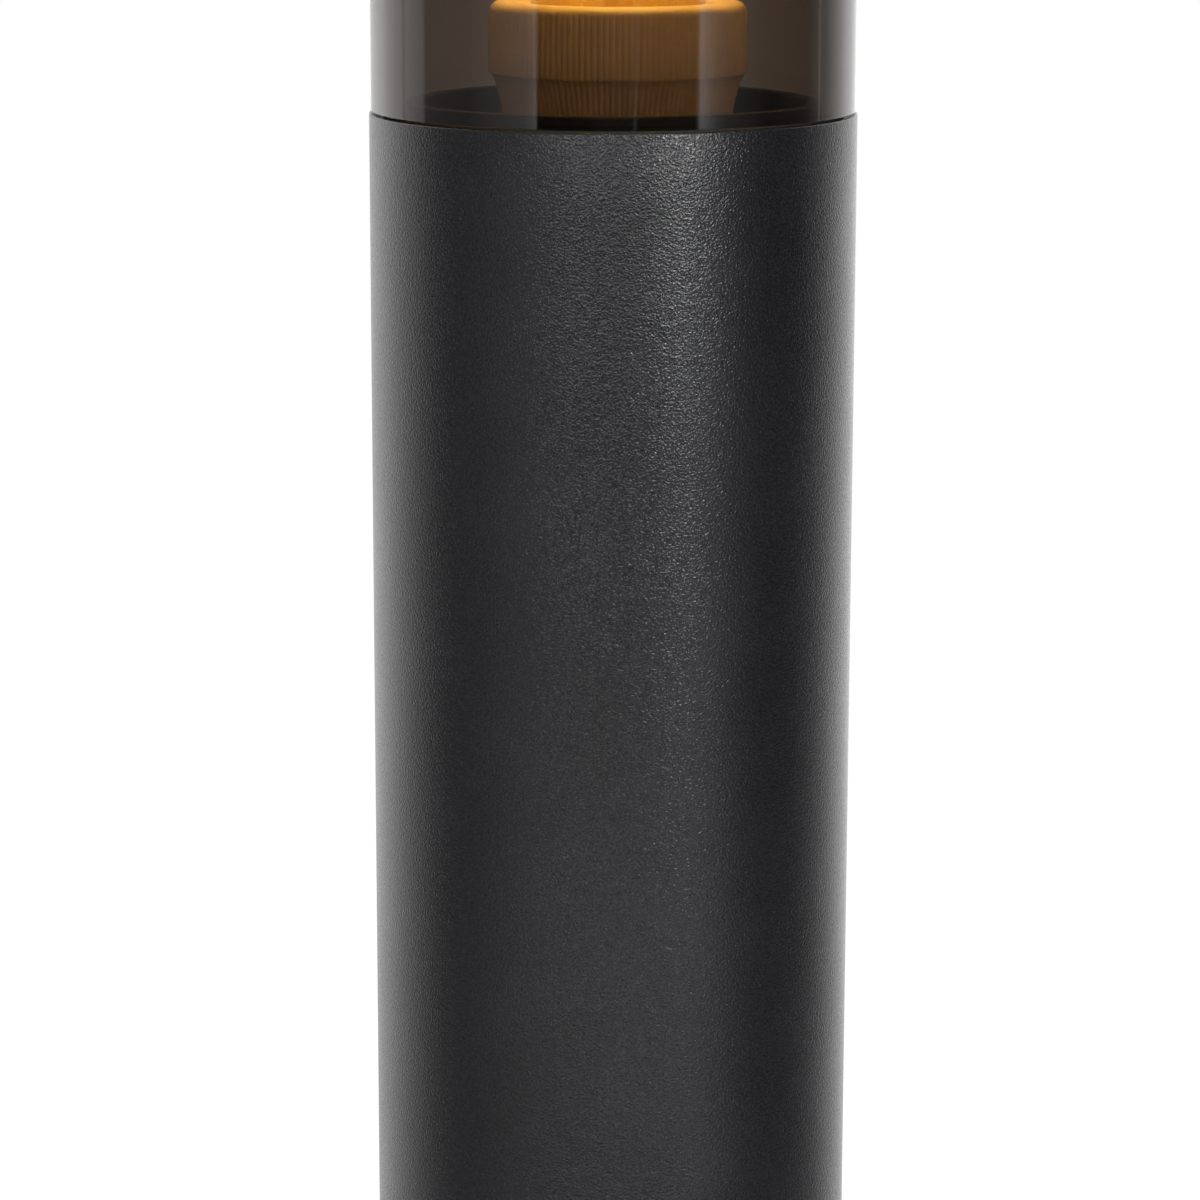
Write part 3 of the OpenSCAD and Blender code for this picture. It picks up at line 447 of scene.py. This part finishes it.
def litFilament(s):
    # chips under yellow phosphor, lit warm: the glow swells and fades a little along each stick
    material, tree = newMaterial("litFilament")
    place = addNode(tree, "ShaderNodeTexCoord").outputs["Object"]
    bands = addNode(tree, "ShaderNodeTexWave", bands_direction="Z",
                    values={"Scale": math.pi / 10 / s["band"], "Distortion": 0.0}, links={"Vector": place})
    tone = addNode(tree, "ShaderNodeValToRGB",
                   stops=[(s["edges"][0], toLinear(s["rim"])), (s["edges"][1], toLinear(s["core"]))],
                   links={"Fac": bands.outputs["Fac"]})
    shader = addNode(tree, "ShaderNodeBsdfPrincipled",
                     values={"Emission Strength": s["glow"], "Roughness": s["rough"]},
                     links={"Base Color": tone.outputs["Color"], "Emission Color": tone.outputs["Color"]})
    addNode(tree, "ShaderNodeOutputMaterial", links={"Surface": shader.outputs[0]})
    return material


# the other skins share one build: a soft cloud tints them, a finer grain gives the relief and mostly the sheen
# tones: dark and light; cloud, grain: size and detail; rough: at the noise's low and high end;
# depth, strength: of the relief

skinSet = {
    # die-cast aluminium under a thin black primer: sandy skin, a little shinier where the die flowed
    "coatedCasting": {"tones": ("#1d1d1f", "#2b2b2d"), "cloud": (9 * mm, 2), "grain": (0.9 * mm, 4),
                      "rough": (0.42, 0.6), "sheenFromCloud": True, "depth": 0.05 * mm, "strength": 0.7},
    # pressed electrical porcelain with a thin satin glaze: warm cream, slightly mottled by the kiln
    "creamPorcelain": {"tones": ("#c6a97f", "#d3b78e"), "cloud": (5 * mm, 3), "grain": (0.5 * mm, 3),
                       "rough": (0.42, 0.55), "depth": 0.012 * mm, "strength": 0.5,
                       "shader": {"Coat Weight": 0.25, "Coat Roughness": 0.22, "Subsurface Weight": 0.08,
                                  "Subsurface Radius": (2 * mm, 1.4 * mm, 0.9 * mm), "Subsurface Scale": 1.0}},
    # nickel plate: warm, bright and smooth
    "nickelPlate": {"tones": ("#b9b5ab", "#cfcbc2"), "cloud": (4 * mm, 3), "grain": (0.8 * mm, 4),
                    "rough": (0.16, 0.28), "depth": 0.004 * mm, "strength": 0.4, "shader": {"Metallic": 1.0}},
    # brass turned from bar: yellow, with a soft sheen
    "turnedBrass": {"tones": ("#b58a3c", "#cda352"), "cloud": (4 * mm, 3), "grain": (0.5 * mm, 4),
                    "rough": (0.22, 0.36), "depth": 0.006 * mm, "strength": 0.4, "shader": {"Metallic": 1.0}},
    # zinc-plated steel: bluish and a little cloudy
    "zincPlatedSteel": {"tones": ("#a7a9ab", "#c3c6c9"), "cloud": (4 * mm, 3), "grain": (1.2 * mm, 4),
                        "rough": (0.28, 0.42), "depth": 0.01 * mm, "strength": 0.4, "shader": {"Metallic": 1.0}},
    # pressed steel painted black: smooth, half matt
    "blackPaintedSteel": {"tones": ("#101011", "#19191b"), "cloud": (6 * mm, 2), "grain": (0.7 * mm, 3),
                          "rough": (0.35, 0.5), "depth": 0.012 * mm, "strength": 0.6},
    # screws blackened in an oxide bath: a thin satin skin on bright steel
    "blackOxideSteel": {"tones": ("#18181a", "#242427"), "cloud": (6 * mm, 2), "grain": (0.3 * mm, 3),
                        "rough": (0.32, 0.46), "depth": 0.006 * mm, "strength": 0.6},
    # moulded rubber: dull black with a dusty bloom
    "mouldedRubber": {"tones": ("#101010", "#1a1a1a"), "cloud": (6 * mm, 2), "grain": (0.4 * mm, 3),
                      "rough": (0.62, 0.8), "depth": 0.02 * mm, "strength": 0.6},
    # moulded polyamide without dye: milky cream, softly shiny
    "naturalPolyamide": {"tones": ("#dcd8c8", "#e9e6d9"), "cloud": (6 * mm, 2), "grain": (0.6 * mm, 3),
                         "rough": (0.4, 0.52), "depth": 0.01 * mm, "strength": 0.6},
    # insulation of extruded silicone: even colour, a waxy sheen
    "brownSilicone": {"tones": ("#4e2c1a", "#5e3722"), "cloud": (6 * mm, 2), "grain": (0.5 * mm, 3),
                      "rough": (0.45, 0.6), "depth": 0.01 * mm, "strength": 0.6},
    "blueSilicone": {"tones": ("#2452a4", "#2f60b8"), "cloud": (6 * mm, 2), "grain": (0.5 * mm, 3),
                     "rough": (0.45, 0.6), "depth": 0.01 * mm, "strength": 0.6},
    # pressed black glass of the bulb's insulator: glossy, with a faint ripple
    "blackGlass": {"tones": ("#0b0b0d", "#131316"), "cloud": (6 * mm, 2), "grain": (1.5 * mm, 3),
                   "rough": (0.06, 0.14), "depth": 0.004 * mm, "strength": 0.6},
}


def grainedSkin(name, s):
    material, tree = newMaterial(name)
    place = addNode(tree, "ShaderNodeTexCoord").outputs["Object"]
    size, detail = s["cloud"]
    cloud = addNode(tree, "ShaderNodeTexNoise",
                    values={"Scale": 1 / size, "Detail": detail, "Roughness": noiseRough},
                    links={"Vector": place}).outputs["Fac"]
    size, detail = s["grain"]
    fine = addNode(tree, "ShaderNodeTexNoise",
                   values={"Scale": 1 / size, "Detail": detail, "Roughness": noiseRough},
                   links={"Vector": place}).outputs["Fac"]
    dark, light = s["tones"]
    tone = addNode(tree, "ShaderNodeValToRGB", stops=[(noiseLow, toLinear(dark)), (noiseHigh, toLinear(light))],
                   links={"Fac": cloud})
    low, high = s["rough"]
    sheen = addNode(tree, "ShaderNodeMapRange",
                    values={"From Min": noiseLow, "From Max": noiseHigh, "To Min": low, "To Max": high},
                    links={"Value": cloud if "sheenFromCloud" in s else fine})
    skin = addNode(tree, "ShaderNodeBump", values={"Strength": s["strength"], "Distance": s["depth"]},
                   links={"Height": fine})
    shader = addNode(tree, "ShaderNodeBsdfPrincipled", values=s.get("shader"),
                     links={"Base Color": tone.outputs["Color"], "Roughness": sheen.outputs["Result"],
                            "Normal": skin.outputs["Normal"]})
    addNode(tree, "ShaderNodeOutputMaterial", links={"Surface": shader.outputs[0]})
    return material


skinOfSlot = {
    "cast_aluminium": "coatedCasting",
    "porcelain": "creamPorcelain",
    "nickel": "nickelPlate",
    "brass": "turnedBrass",
    "zinc_steel": "zincPlatedSteel",
    "black_steel": "blackPaintedSteel",
    "black_screws": "blackOxideSteel",
    "rubber": "mouldedRubber",
    "block_plastic": "naturalPolyamide",
    "brown_silicone": "brownSilicone",
    "blue_silicone": "blueSilicone",
    "black_glass": "blackGlass",
}
finishes = {slot: grainedSkin(name, skinSet[name]) for slot, name in skinOfSlot.items()}
finishes["powder_coat"] = blackPowderCoat(powderSet)
finishes["black_anodised"] = blackAnodised(anodisedSet)
finishes["smoke_acrylic"] = smokeAcrylic(smokeSet)
finishes["bulb_glass"] = blownGlass(bulbGlassSet)
finishes["green_silicone"] = greenYellowSilicone(earthSet)
finishes["filament"] = litFilament(filamentSet)

slotOf = {part["node"]: part["material_slot"] for part in frame["record"]["subparts"]}
for nodeName, nodeObject in frame["nodes"].items():
    for slot in nodeObject.material_slots:
        slot.material = finishes[slotOf[nodeName]]
    if not nodeObject.material_slots:
        nodeObject.data.materials.append(finishes[slotOf[nodeName]])
print("materials mixed")


# modelling helpers

def ringStack(name, count, rings, centreX=0.0):
    # a circle is added at the first ring, then its edge is extruded and resized from ring to ring
    bpy.ops.object.select_all(action="DESELECT")
    radius, height = rings[0]
    bpy.ops.mesh.primitive_circle_add(vertices=count, radius=radius, location=(0, 0, height))
    bpy.context.object.name = name
    bpy.ops.object.transform_apply(location=True)
    bpy.ops.object.mode_set(mode="EDIT")
    bpy.ops.mesh.select_all(action="SELECT")
    for nextRadius, nextHeight in rings[1:]:
        bpy.ops.mesh.extrude_region_move(TRANSFORM_OT_translate={"value": (0, 0, nextHeight - height)})
        k = nextRadius / radius
        bpy.ops.transform.resize(value=(k, k, 1), center_override=(0, 0, nextHeight))
        radius, height = nextRadius, nextHeight
    closeMesh()
    bpy.ops.mesh.select_all(action="SELECT")
    bpy.ops.transform.translate(value=(centreX, 0, 0))
    bpy.ops.object.mode_set(mode="OBJECT")
    return bpy.context.object


sameHeight = 1e-6  # metres within which points count as one ring, and as one point
samePoint = 2e-6


def closeMesh():
    bpy.ops.mesh.select_all(action="SELECT")
    bpy.ops.mesh.remove_doubles(threshold=samePoint)
    bpy.ops.mesh.select_all(action="SELECT")
    bpy.ops.mesh.fill_holes(sides=0)
    bpy.ops.mesh.normals_make_consistent(inside=False)


def smoothOver(piece, degrees):
    bpy.ops.object.select_all(action="DESELECT")
    piece.select_set(True)
    bpy.context.view_layer.objects.active = piece
    bpy.ops.object.shade_smooth_by_angle(angle=math.radians(degrees))


def cutAway(piece, cutter):
    cut = piece.modifiers.new("drilled", "BOOLEAN")
    cut.object = cutter
    cut.operation = "DIFFERENCE"
    bpy.ops.object.select_all(action="DESELECT")
    piece.select_set(True)
    bpy.context.view_layer.objects.active = piece
    bpy.ops.object.modifier_apply(modifier=cut.name)
    bpy.data.objects.remove(cutter, do_unlink=True)


def finishPiece(piece, slot, *nodes):
    piece.data.materials.clear()
    piece.data.materials.append(finishes[slot])
    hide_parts(*nodes)
    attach(piece, "root")


# post tube: drawn tube with a rounded rim, countersunk above the ground, drilled for the lock screw at the back

postSet = {
    "outer": 45.0,
    "bore": 42.5,
    "low": 4.0,
    "high": 350.0,
    "rim": 0.3,
    "rimStep": 10,  # degrees from ring to ring of the rounded rim
    "holesBelow": 24.0,  # rings between which the long faces run, clear of all holes
    "holesAbove": 336.0,
    "steps": 256,
    "smooth": 30,
    "screwTurns": (90, 210, 330),
    "screwZ": 13.0,
    "shank": 2.05,
    "head": 2.0,
    "lockTurn": 90,
    "lockZ": 344.0,
    "lockHole": 2.3,
    "cutterSteps": 48,
    "cutterTip": 0.01,
    "cutterPast": 1.0,  # how far a cutter runs past the wall on either side
}


def buildPostTube(s):
    out, inner, rim, low, high = s["outer"], s["bore"], s["rim"], s["low"], s["high"]
    rings = [(inner, low), (out, low), (out, s["holesBelow"]), (out, s["holesAbove"])]
    for a in range(0, 91, s["rimStep"]):
        t = math.radians(a)
        rings.append((out - rim * (1 - math.cos(t)), high - rim * (1 - math.sin(t))))
    rings += [(inner, high), (inner, s["holesAbove"]), (inner, s["holesBelow"]), (inner, low)]
    piece = ringStack("postTube", s["steps"], [(r * mm, z * mm) for r, z in rings])
    tip, past, shank, head = s["cutterTip"], s["cutterPast"], s["shank"], s["head"]
    deep = inner - out - past
    sunk = [(tip, deep), (shank, deep), (shank, -head), (shank + head + past, past), (tip, past)]
    for turn in s["screwTurns"]:
        bore(piece, s, sunk, turn, s["screwZ"])
    straight = [(tip, deep), (s["lockHole"], deep), (s["lockHole"], past), (tip, past)]
    bore(piece, s, straight, s["lockTurn"], s["lockZ"])
    smoothOver(piece, s["smooth"])
    finishPiece(piece, "powder_coat", "post_tube")


def bore(piece, s, profile, turn, height):
    # a turned cutter is laid on its side and pushed into the wall
    cutter = ringStack("cutter", s["cutterSteps"], [(r * mm, z * mm) for r, z in profile])
    a = math.radians(turn)
    cutter.location = (s["outer"] * mm * math.cos(a), s["outer"] * mm * math.sin(a), height * mm)
    cutter.rotation_euler = (0, math.radians(90), a)
    bpy.ops.object.transform_apply(location=True, rotation=True)
    cutAway(piece, cutter)


buildPostTube(postSet)
print("post tube drilled")


# lampholder: ribs run round the band and on down the taper, and fade out on the rounded shoulder

holderX = 0.8  # the holder and its bulb stand this far off the post's axis

holderSet = {
    "x": holderX,
    "ribs": 136,
    "perRib": 6,  # points round one rib
    "depth": 0.27,
    "taperDepth": 0.45,
    "flank": 0.35,  # share of the depth half-way into a groove
    "sameDepth": 0.0001,  # grooves that differ by less aren't reshaped
    # places on the outline are (height, radius), from the foot up
    "foot": (320.45, 19.5),
    "footEdge": 0.5,
    "ribsStart": (347.6, 21.1),
    "runIn": (1.2, 0.07),  # from the last plain ring to the first ribbed one
    "neck": (351.0, 21.3),
    "taperMiddle": (353.6, 21.95),
    "waist": (355.9, 22.6),
    "band": (357.3, 23.8),
    "bandEdge": 0.9,
    "bandEdgeRise": 0.5,
    "bandEdgeFlat": 0.6,  # height of the rounded edge against its width
    "bandRings": (362.0, 366.0),
    "bandTop": 368.3,
    "shoulder": 2.1,
    "ribsEnd": 60,  # degrees up the shoulder
    "mouth": 17.6,
    "lip": 0.8,
    "lipFlat": 0.3,
    "mouthLow": 362.4,
    "cavity": (359.4, 14.0),
    "cavityLow": 330.0,
    "smooth": 40,
    # holes are (radius, top, how far out to each side, how far back)
    "holesFrom": 315.0,
    "wireHole": (1.5, 328.45, 5, 12),
    "screwHole": (2.05, 327.45, 12, 0),
    "holeSteps": 48,
}


def grooveRows(s):
    # rings as (height, crest radius, groove depth)
    d, deep = s["depth"], s["taperDepth"]
    footZ, footR = s["foot"]
    startZ, startR = s["ribsStart"]
    rows = [(footZ, footR - s["footEdge"], 0), (footZ + s["footEdge"], footR, 0),
            (startZ - s["runIn"][0], startR - s["runIn"][1], 0)]
    rows += [(*s[place], deep) for place in ("ribsStart", "neck", "taperMiddle", "waist")]
    bandZ, bandR = s["band"]
    edge = s["bandEdge"]
    for a in (30, 60, 90):
        t = math.radians(a)
        rows.append((bandZ + s["bandEdgeRise"] - edge * math.cos(t) * s["bandEdgeFlat"],
                     bandR - edge * (1 - math.sin(t)), d))
    rows += [(z, bandR, d) for z in (*s["bandRings"], s["bandTop"])]
    for a in (15, 30, 45, 60, 75, 90):
        t = math.radians(a)
        rows.append((s["bandTop"] + s["shoulder"] * math.sin(t), bandR - s["shoulder"] * (1 - math.cos(t)),
                     max(0, d * (1 - a / s["ribsEnd"]))))
    top = s["bandTop"] + s["shoulder"]
    lipR = s["mouth"] + s["lip"]
    rows.append((top, lipR + s["lipFlat"], 0))
    for a in (30, 60, 90):
        t = math.radians(a)
        rows.append((top - s["lip"] * (1 - math.cos(t)), lipR - s["lip"] * math.sin(t), 0))
    rows += [(s["mouthLow"], s["mouth"], 0), (*s["cavity"], 0), (s["cavityLow"], s["cavity"][1], 0)]
    return rows


def pushGrooves(piece, s, height, moves):
    # moves: for each place inside a rib, how its points go in or out
    count = s["ribs"] * s["perRib"]
    for spoke, k in moves.items():
        mesh = bmesh.from_edit_mesh(piece.data)
        for v in mesh.verts:
            turn = round(math.atan2(v.co.y, v.co.x) / (2 * math.pi) * count) % s["perRib"]
            v.select = abs(v.co.z - height) < sameHeight and turn in spoke
        mesh.select_flush_mode()
        bmesh.update_edit_mesh(piece.data)
        bpy.ops.transform.resize(value=(k, k, 1), center_override=(0, 0, height))


def selectRing(piece, height):
    mesh = bmesh.from_edit_mesh(piece.data)
    for v in mesh.verts:
        v.select = abs(v.co.z - height) < sameHeight
    mesh.select_flush_mode()
    bmesh.update_edit_mesh(piece.data)


def buildLampholder(s):
    rows = grooveRows(s)
    count = s["ribs"] * s["perRib"]
    bpy.ops.object.select_all(action="DESELECT")
    height, radius, depth = rows[0]
    bpy.ops.mesh.primitive_circle_add(vertices=count, radius=radius * mm, location=(0, 0, height * mm))
    piece = bpy.context.object
    piece.name = "ribbedLampholder"
    bpy.ops.object.transform_apply(location=True)
    bpy.ops.object.mode_set(mode="EDIT")
    bpy.ops.mesh.select_mode(type="VERT")
    bpy.ops.mesh.select_all(action="SELECT")
    for z, r, d in rows[1:]:
        bpy.ops.mesh.extrude_region_move(TRANSFORM_OT_translate={"value": (0, 0, (z - height) * mm)})
        k = r / radius
        bpy.ops.transform.resize(value=(k, k, 1), center_override=(0, 0, z * mm))
        was = depth * k
        if abs(was - d) > s["sameDepth"]:
            pushGrooves(piece, s, z * mm, {
                (3,): (r - d) / (r - was),
                (2, 4): (r - d * s["flank"]) / (r - was * s["flank"]),
            })
            selectRing(piece, z * mm)
            was = d
        height, radius, depth = z, r, was
    closeMesh()
    bpy.ops.mesh.select_all(action="SELECT")
    bpy.ops.transform.translate(value=(s["x"] * mm, 0, 0))
    bpy.ops.object.mode_set(mode="OBJECT")
    for side in (-1, 1):
        for name in ("wireHole", "screwHole"):
            radius, top, aside, back = s[name]
            bpy.ops.object.select_all(action="DESELECT")
            bpy.ops.mesh.primitive_cylinder_add(
                vertices=s["holeSteps"], radius=radius * mm, depth=(top - s["holesFrom"]) * mm,
                location=((s["x"] + side * aside) * mm, back * mm, (top + s["holesFrom"]) / 2 * mm))
            cutAway(piece, bpy.context.object)
    smoothOver(piece, s["smooth"])
    finishPiece(piece, "porcelain", "lampholder_shell")


buildLampholder(holderSet)
print("lampholder ribbed")


# smoke tube: one thick wall, its outer edges broken by a small polished chamfer

tubeSet = {
    "outer": 44.65,
    "inner": 38.7,
    "low": 350.4,
    "high": 479.4,
    "edge": 0.12,
    "steps": 256,
    "smooth": 30,
}


def buildSmokeTube(s):
    e = s["edge"]
    rings = [(s["inner"], s["low"]), (s["outer"] - e, s["low"]), (s["outer"], s["low"] + e),
             (s["outer"], s["high"] - e), (s["outer"] - e, s["high"]), (s["inner"], s["high"]),
             (s["inner"], s["low"])]
    piece = ringStack("smokeTube", s["steps"], [(r * mm, z * mm) for r, z in rings])
    smoothOver(piece, s["smooth"])
    finishPiece(piece, "smoke_acrylic", "diffuser")


buildSmokeTube(tubeSet)
print("smoke tube drawn")


# bulb glass: neck flares into the globe on one curve, closed at the crown

bulbSet = {
    "x": holderX,
    "neck": (12.6, 359.0),
    "flare": (4.3, 17.0),
    "globe": (30.0, 410.0),
    "meet": 75,  # where the neck's curve meets the globe, from straight down
    "pull": 15.0,  # how far the globe leads that curve on
    "hidden": 6.0,  # how far the neck runs down into the cap
    "crown": 0.0004,  # least radius of a ring; the crown closes over it
    "wall": 0.8,
    "neckRings": 24,
    "globeRings": 36,
    "steps": 128,
    "smooth": 60,
}


def glassRings(s, inset):
    r, centre = s["globe"][0] - inset, s["globe"][1]
    t = math.radians(s["meet"])
    a = (s["neck"][0] - inset, s["neck"][1])
    b = (a[0] + s["flare"][0], a[1] + s["flare"][1])
    d = (r * math.sin(t), centre - r * math.cos(t))
    c = (d[0] - s["pull"] * math.cos(t), d[1] - s["pull"] * math.sin(t))
    rings = [(a[0], a[1] - s["hidden"])]
    for i in range(s["neckRings"] + 1):
        u = i / s["neckRings"]
        w = 1 - u
        rings.append(tuple(w ** 3 * p + 3 * w * w * u * q + 3 * w * u * u * m + u ** 3 * n
                           for p, q, m, n in zip(a, b, c, d)))
    for i in range(1, s["globeRings"] + 1):
        f = math.radians(s["meet"] + (180 - s["meet"]) * i / s["globeRings"])
        rings.append((max(r * math.sin(f), s["crown"]), centre - r * math.cos(f)))
    return rings


def buildBulbGlass(s):
    outside = glassRings(s, 0)
    inside = glassRings(s, s["wall"])
    rings = [(r * mm, z * mm) for r, z in outside[::-1] + inside]
    piece = ringStack("bulbGlassEnvelope", s["steps"], rings, s["x"] * mm)
    smoothOver(piece, s["smooth"])
    finishPiece(piece, "bulb_glass", "bulb_glass")


buildBulbGlass(bulbSet)
print("bulb blown")


# filaments: one stick is modelled upright, a bead for each chip under the phosphor, then copied round the mast

stickSet = {
    "x": holderX,
    "count": 4,
    "firstTurn": 45,
    "low": (7.0, 393.0),
    "top": (10.0, 427.0),
    "thick": 0.9,
    "waist": 0.8,
    "chips": 22,
    "bead": (0.35, 0.65),  # where a chip's bead begins and ends, from one waist to the next
    "tipTurns": (8, 25, 45, 65, 85),
    "steps": 24,
    "smooth": 60,
}


def buildSticks(s):
    rise = s["top"][1] - s["low"][1]
    lean = math.atan2(s["top"][0] - s["low"][0], rise)
    length = math.hypot(rise, s["top"][0] - s["low"][0])
    r, pitch = s["thick"], (length - 2 * s["thick"]) / s["chips"]
    tip = [(r * math.sin(math.radians(a)), r - r * math.cos(math.radians(a))) for a in s["tipTurns"]]
    rings = list(tip)
    for i in range(s["chips"]):
        begin, end = s["bead"]
        rings += [(s["waist"], r + pitch * i), (r, r + pitch * (i + begin)), (r, r + pitch * (i + end))]
    rings.append((s["waist"], length - r))
    rings += [(radius, length - z) for radius, z in reversed(tip)]
    stick = ringStack("filamentStick", s["steps"], [(radius * mm, z * mm) for radius, z in rings])
    smoothOver(stick, s["smooth"])
    copies = []
    for i in range(s["count"]):
        turn = math.radians(s["firstTurn"] + 360 * i / s["count"])
        bpy.ops.object.select_all(action="DESELECT")
        stick.select_set(True)
        bpy.context.view_layer.objects.active = stick
        bpy.ops.object.duplicate()
        copy = bpy.context.object
        out, height = s["low"]
        copy.location = ((s["x"] + out * math.cos(turn)) * mm, out * math.sin(turn) * mm, height * mm)
        copy.rotation_euler = (0, lean, turn)
        bpy.ops.object.transform_apply(location=True, rotation=True)
        copies.append(copy)
    bpy.data.objects.remove(stick, do_unlink=True)
    bpy.ops.object.select_all(action="DESELECT")
    for copy in copies:
        copy.select_set(True)
    bpy.context.view_layer.objects.active = copies[0]
    bpy.ops.object.join()
    piece = bpy.context.object
    piece.name = "filamentSticks"
    bpy.ops.object.origin_set(type="ORIGIN_CURSOR")
    finishPiece(piece, "filament", "filaments")


buildSticks(stickSet)
print("filaments lit")


# leads: the CAD's tubes are merged and smoothed, then fattened by what the smoothing takes off

leadSet = {
    "leads": {
        "brownLead": ("lead_live", "brown_silicone"),
        "blueLead": ("lead_neutral", "blue_silicone"),
        "earthLead": ("lead_earth", "green_silicone"),
    },
    "merge": 0.01,
    "quads": 60,  # widest turn over which two triangles become one face
    "levels": 2,
    "fatten": 0.12,
    "smooth": 60,
}


def buildLead(s, name, node, slot):
    bpy.ops.object.select_all(action="DESELECT")
    source = frame["nodes"][node]
    piece = source.copy()
    piece.data = source.data.copy()
    piece.name = name
    scene.collection.objects.link(piece)
    piece.select_set(True)
    bpy.context.view_layer.objects.active = piece
    bpy.ops.object.mode_set(mode="EDIT")
    bpy.ops.mesh.select_all(action="SELECT")
    bpy.ops.mesh.remove_doubles(threshold=s["merge"] * mm)
    widest = math.radians(s["quads"])
    bpy.ops.mesh.tris_convert_to_quads(face_threshold=widest, shape_threshold=widest)
    bpy.ops.mesh.normals_make_consistent(inside=False)
    bpy.ops.object.mode_set(mode="OBJECT")
    rounder = piece.modifiers.new("rounder", "SUBSURF")
    rounder.levels = s["levels"]
    rounder.render_levels = s["levels"]
    bpy.ops.object.modifier_apply(modifier=rounder.name)
    bpy.ops.object.mode_set(mode="EDIT")
    bpy.ops.mesh.select_all(action="SELECT")
    bpy.ops.transform.shrink_fatten(value=s["fatten"] * mm)
    bpy.ops.object.mode_set(mode="OBJECT")
    smoothOver(piece, s["smooth"])
    finishPiece(piece, slot, node)


for name, (node, slot) in leadSet["leads"].items():
    buildLead(leadSet, name, node, slot)
print("leads smoothed")
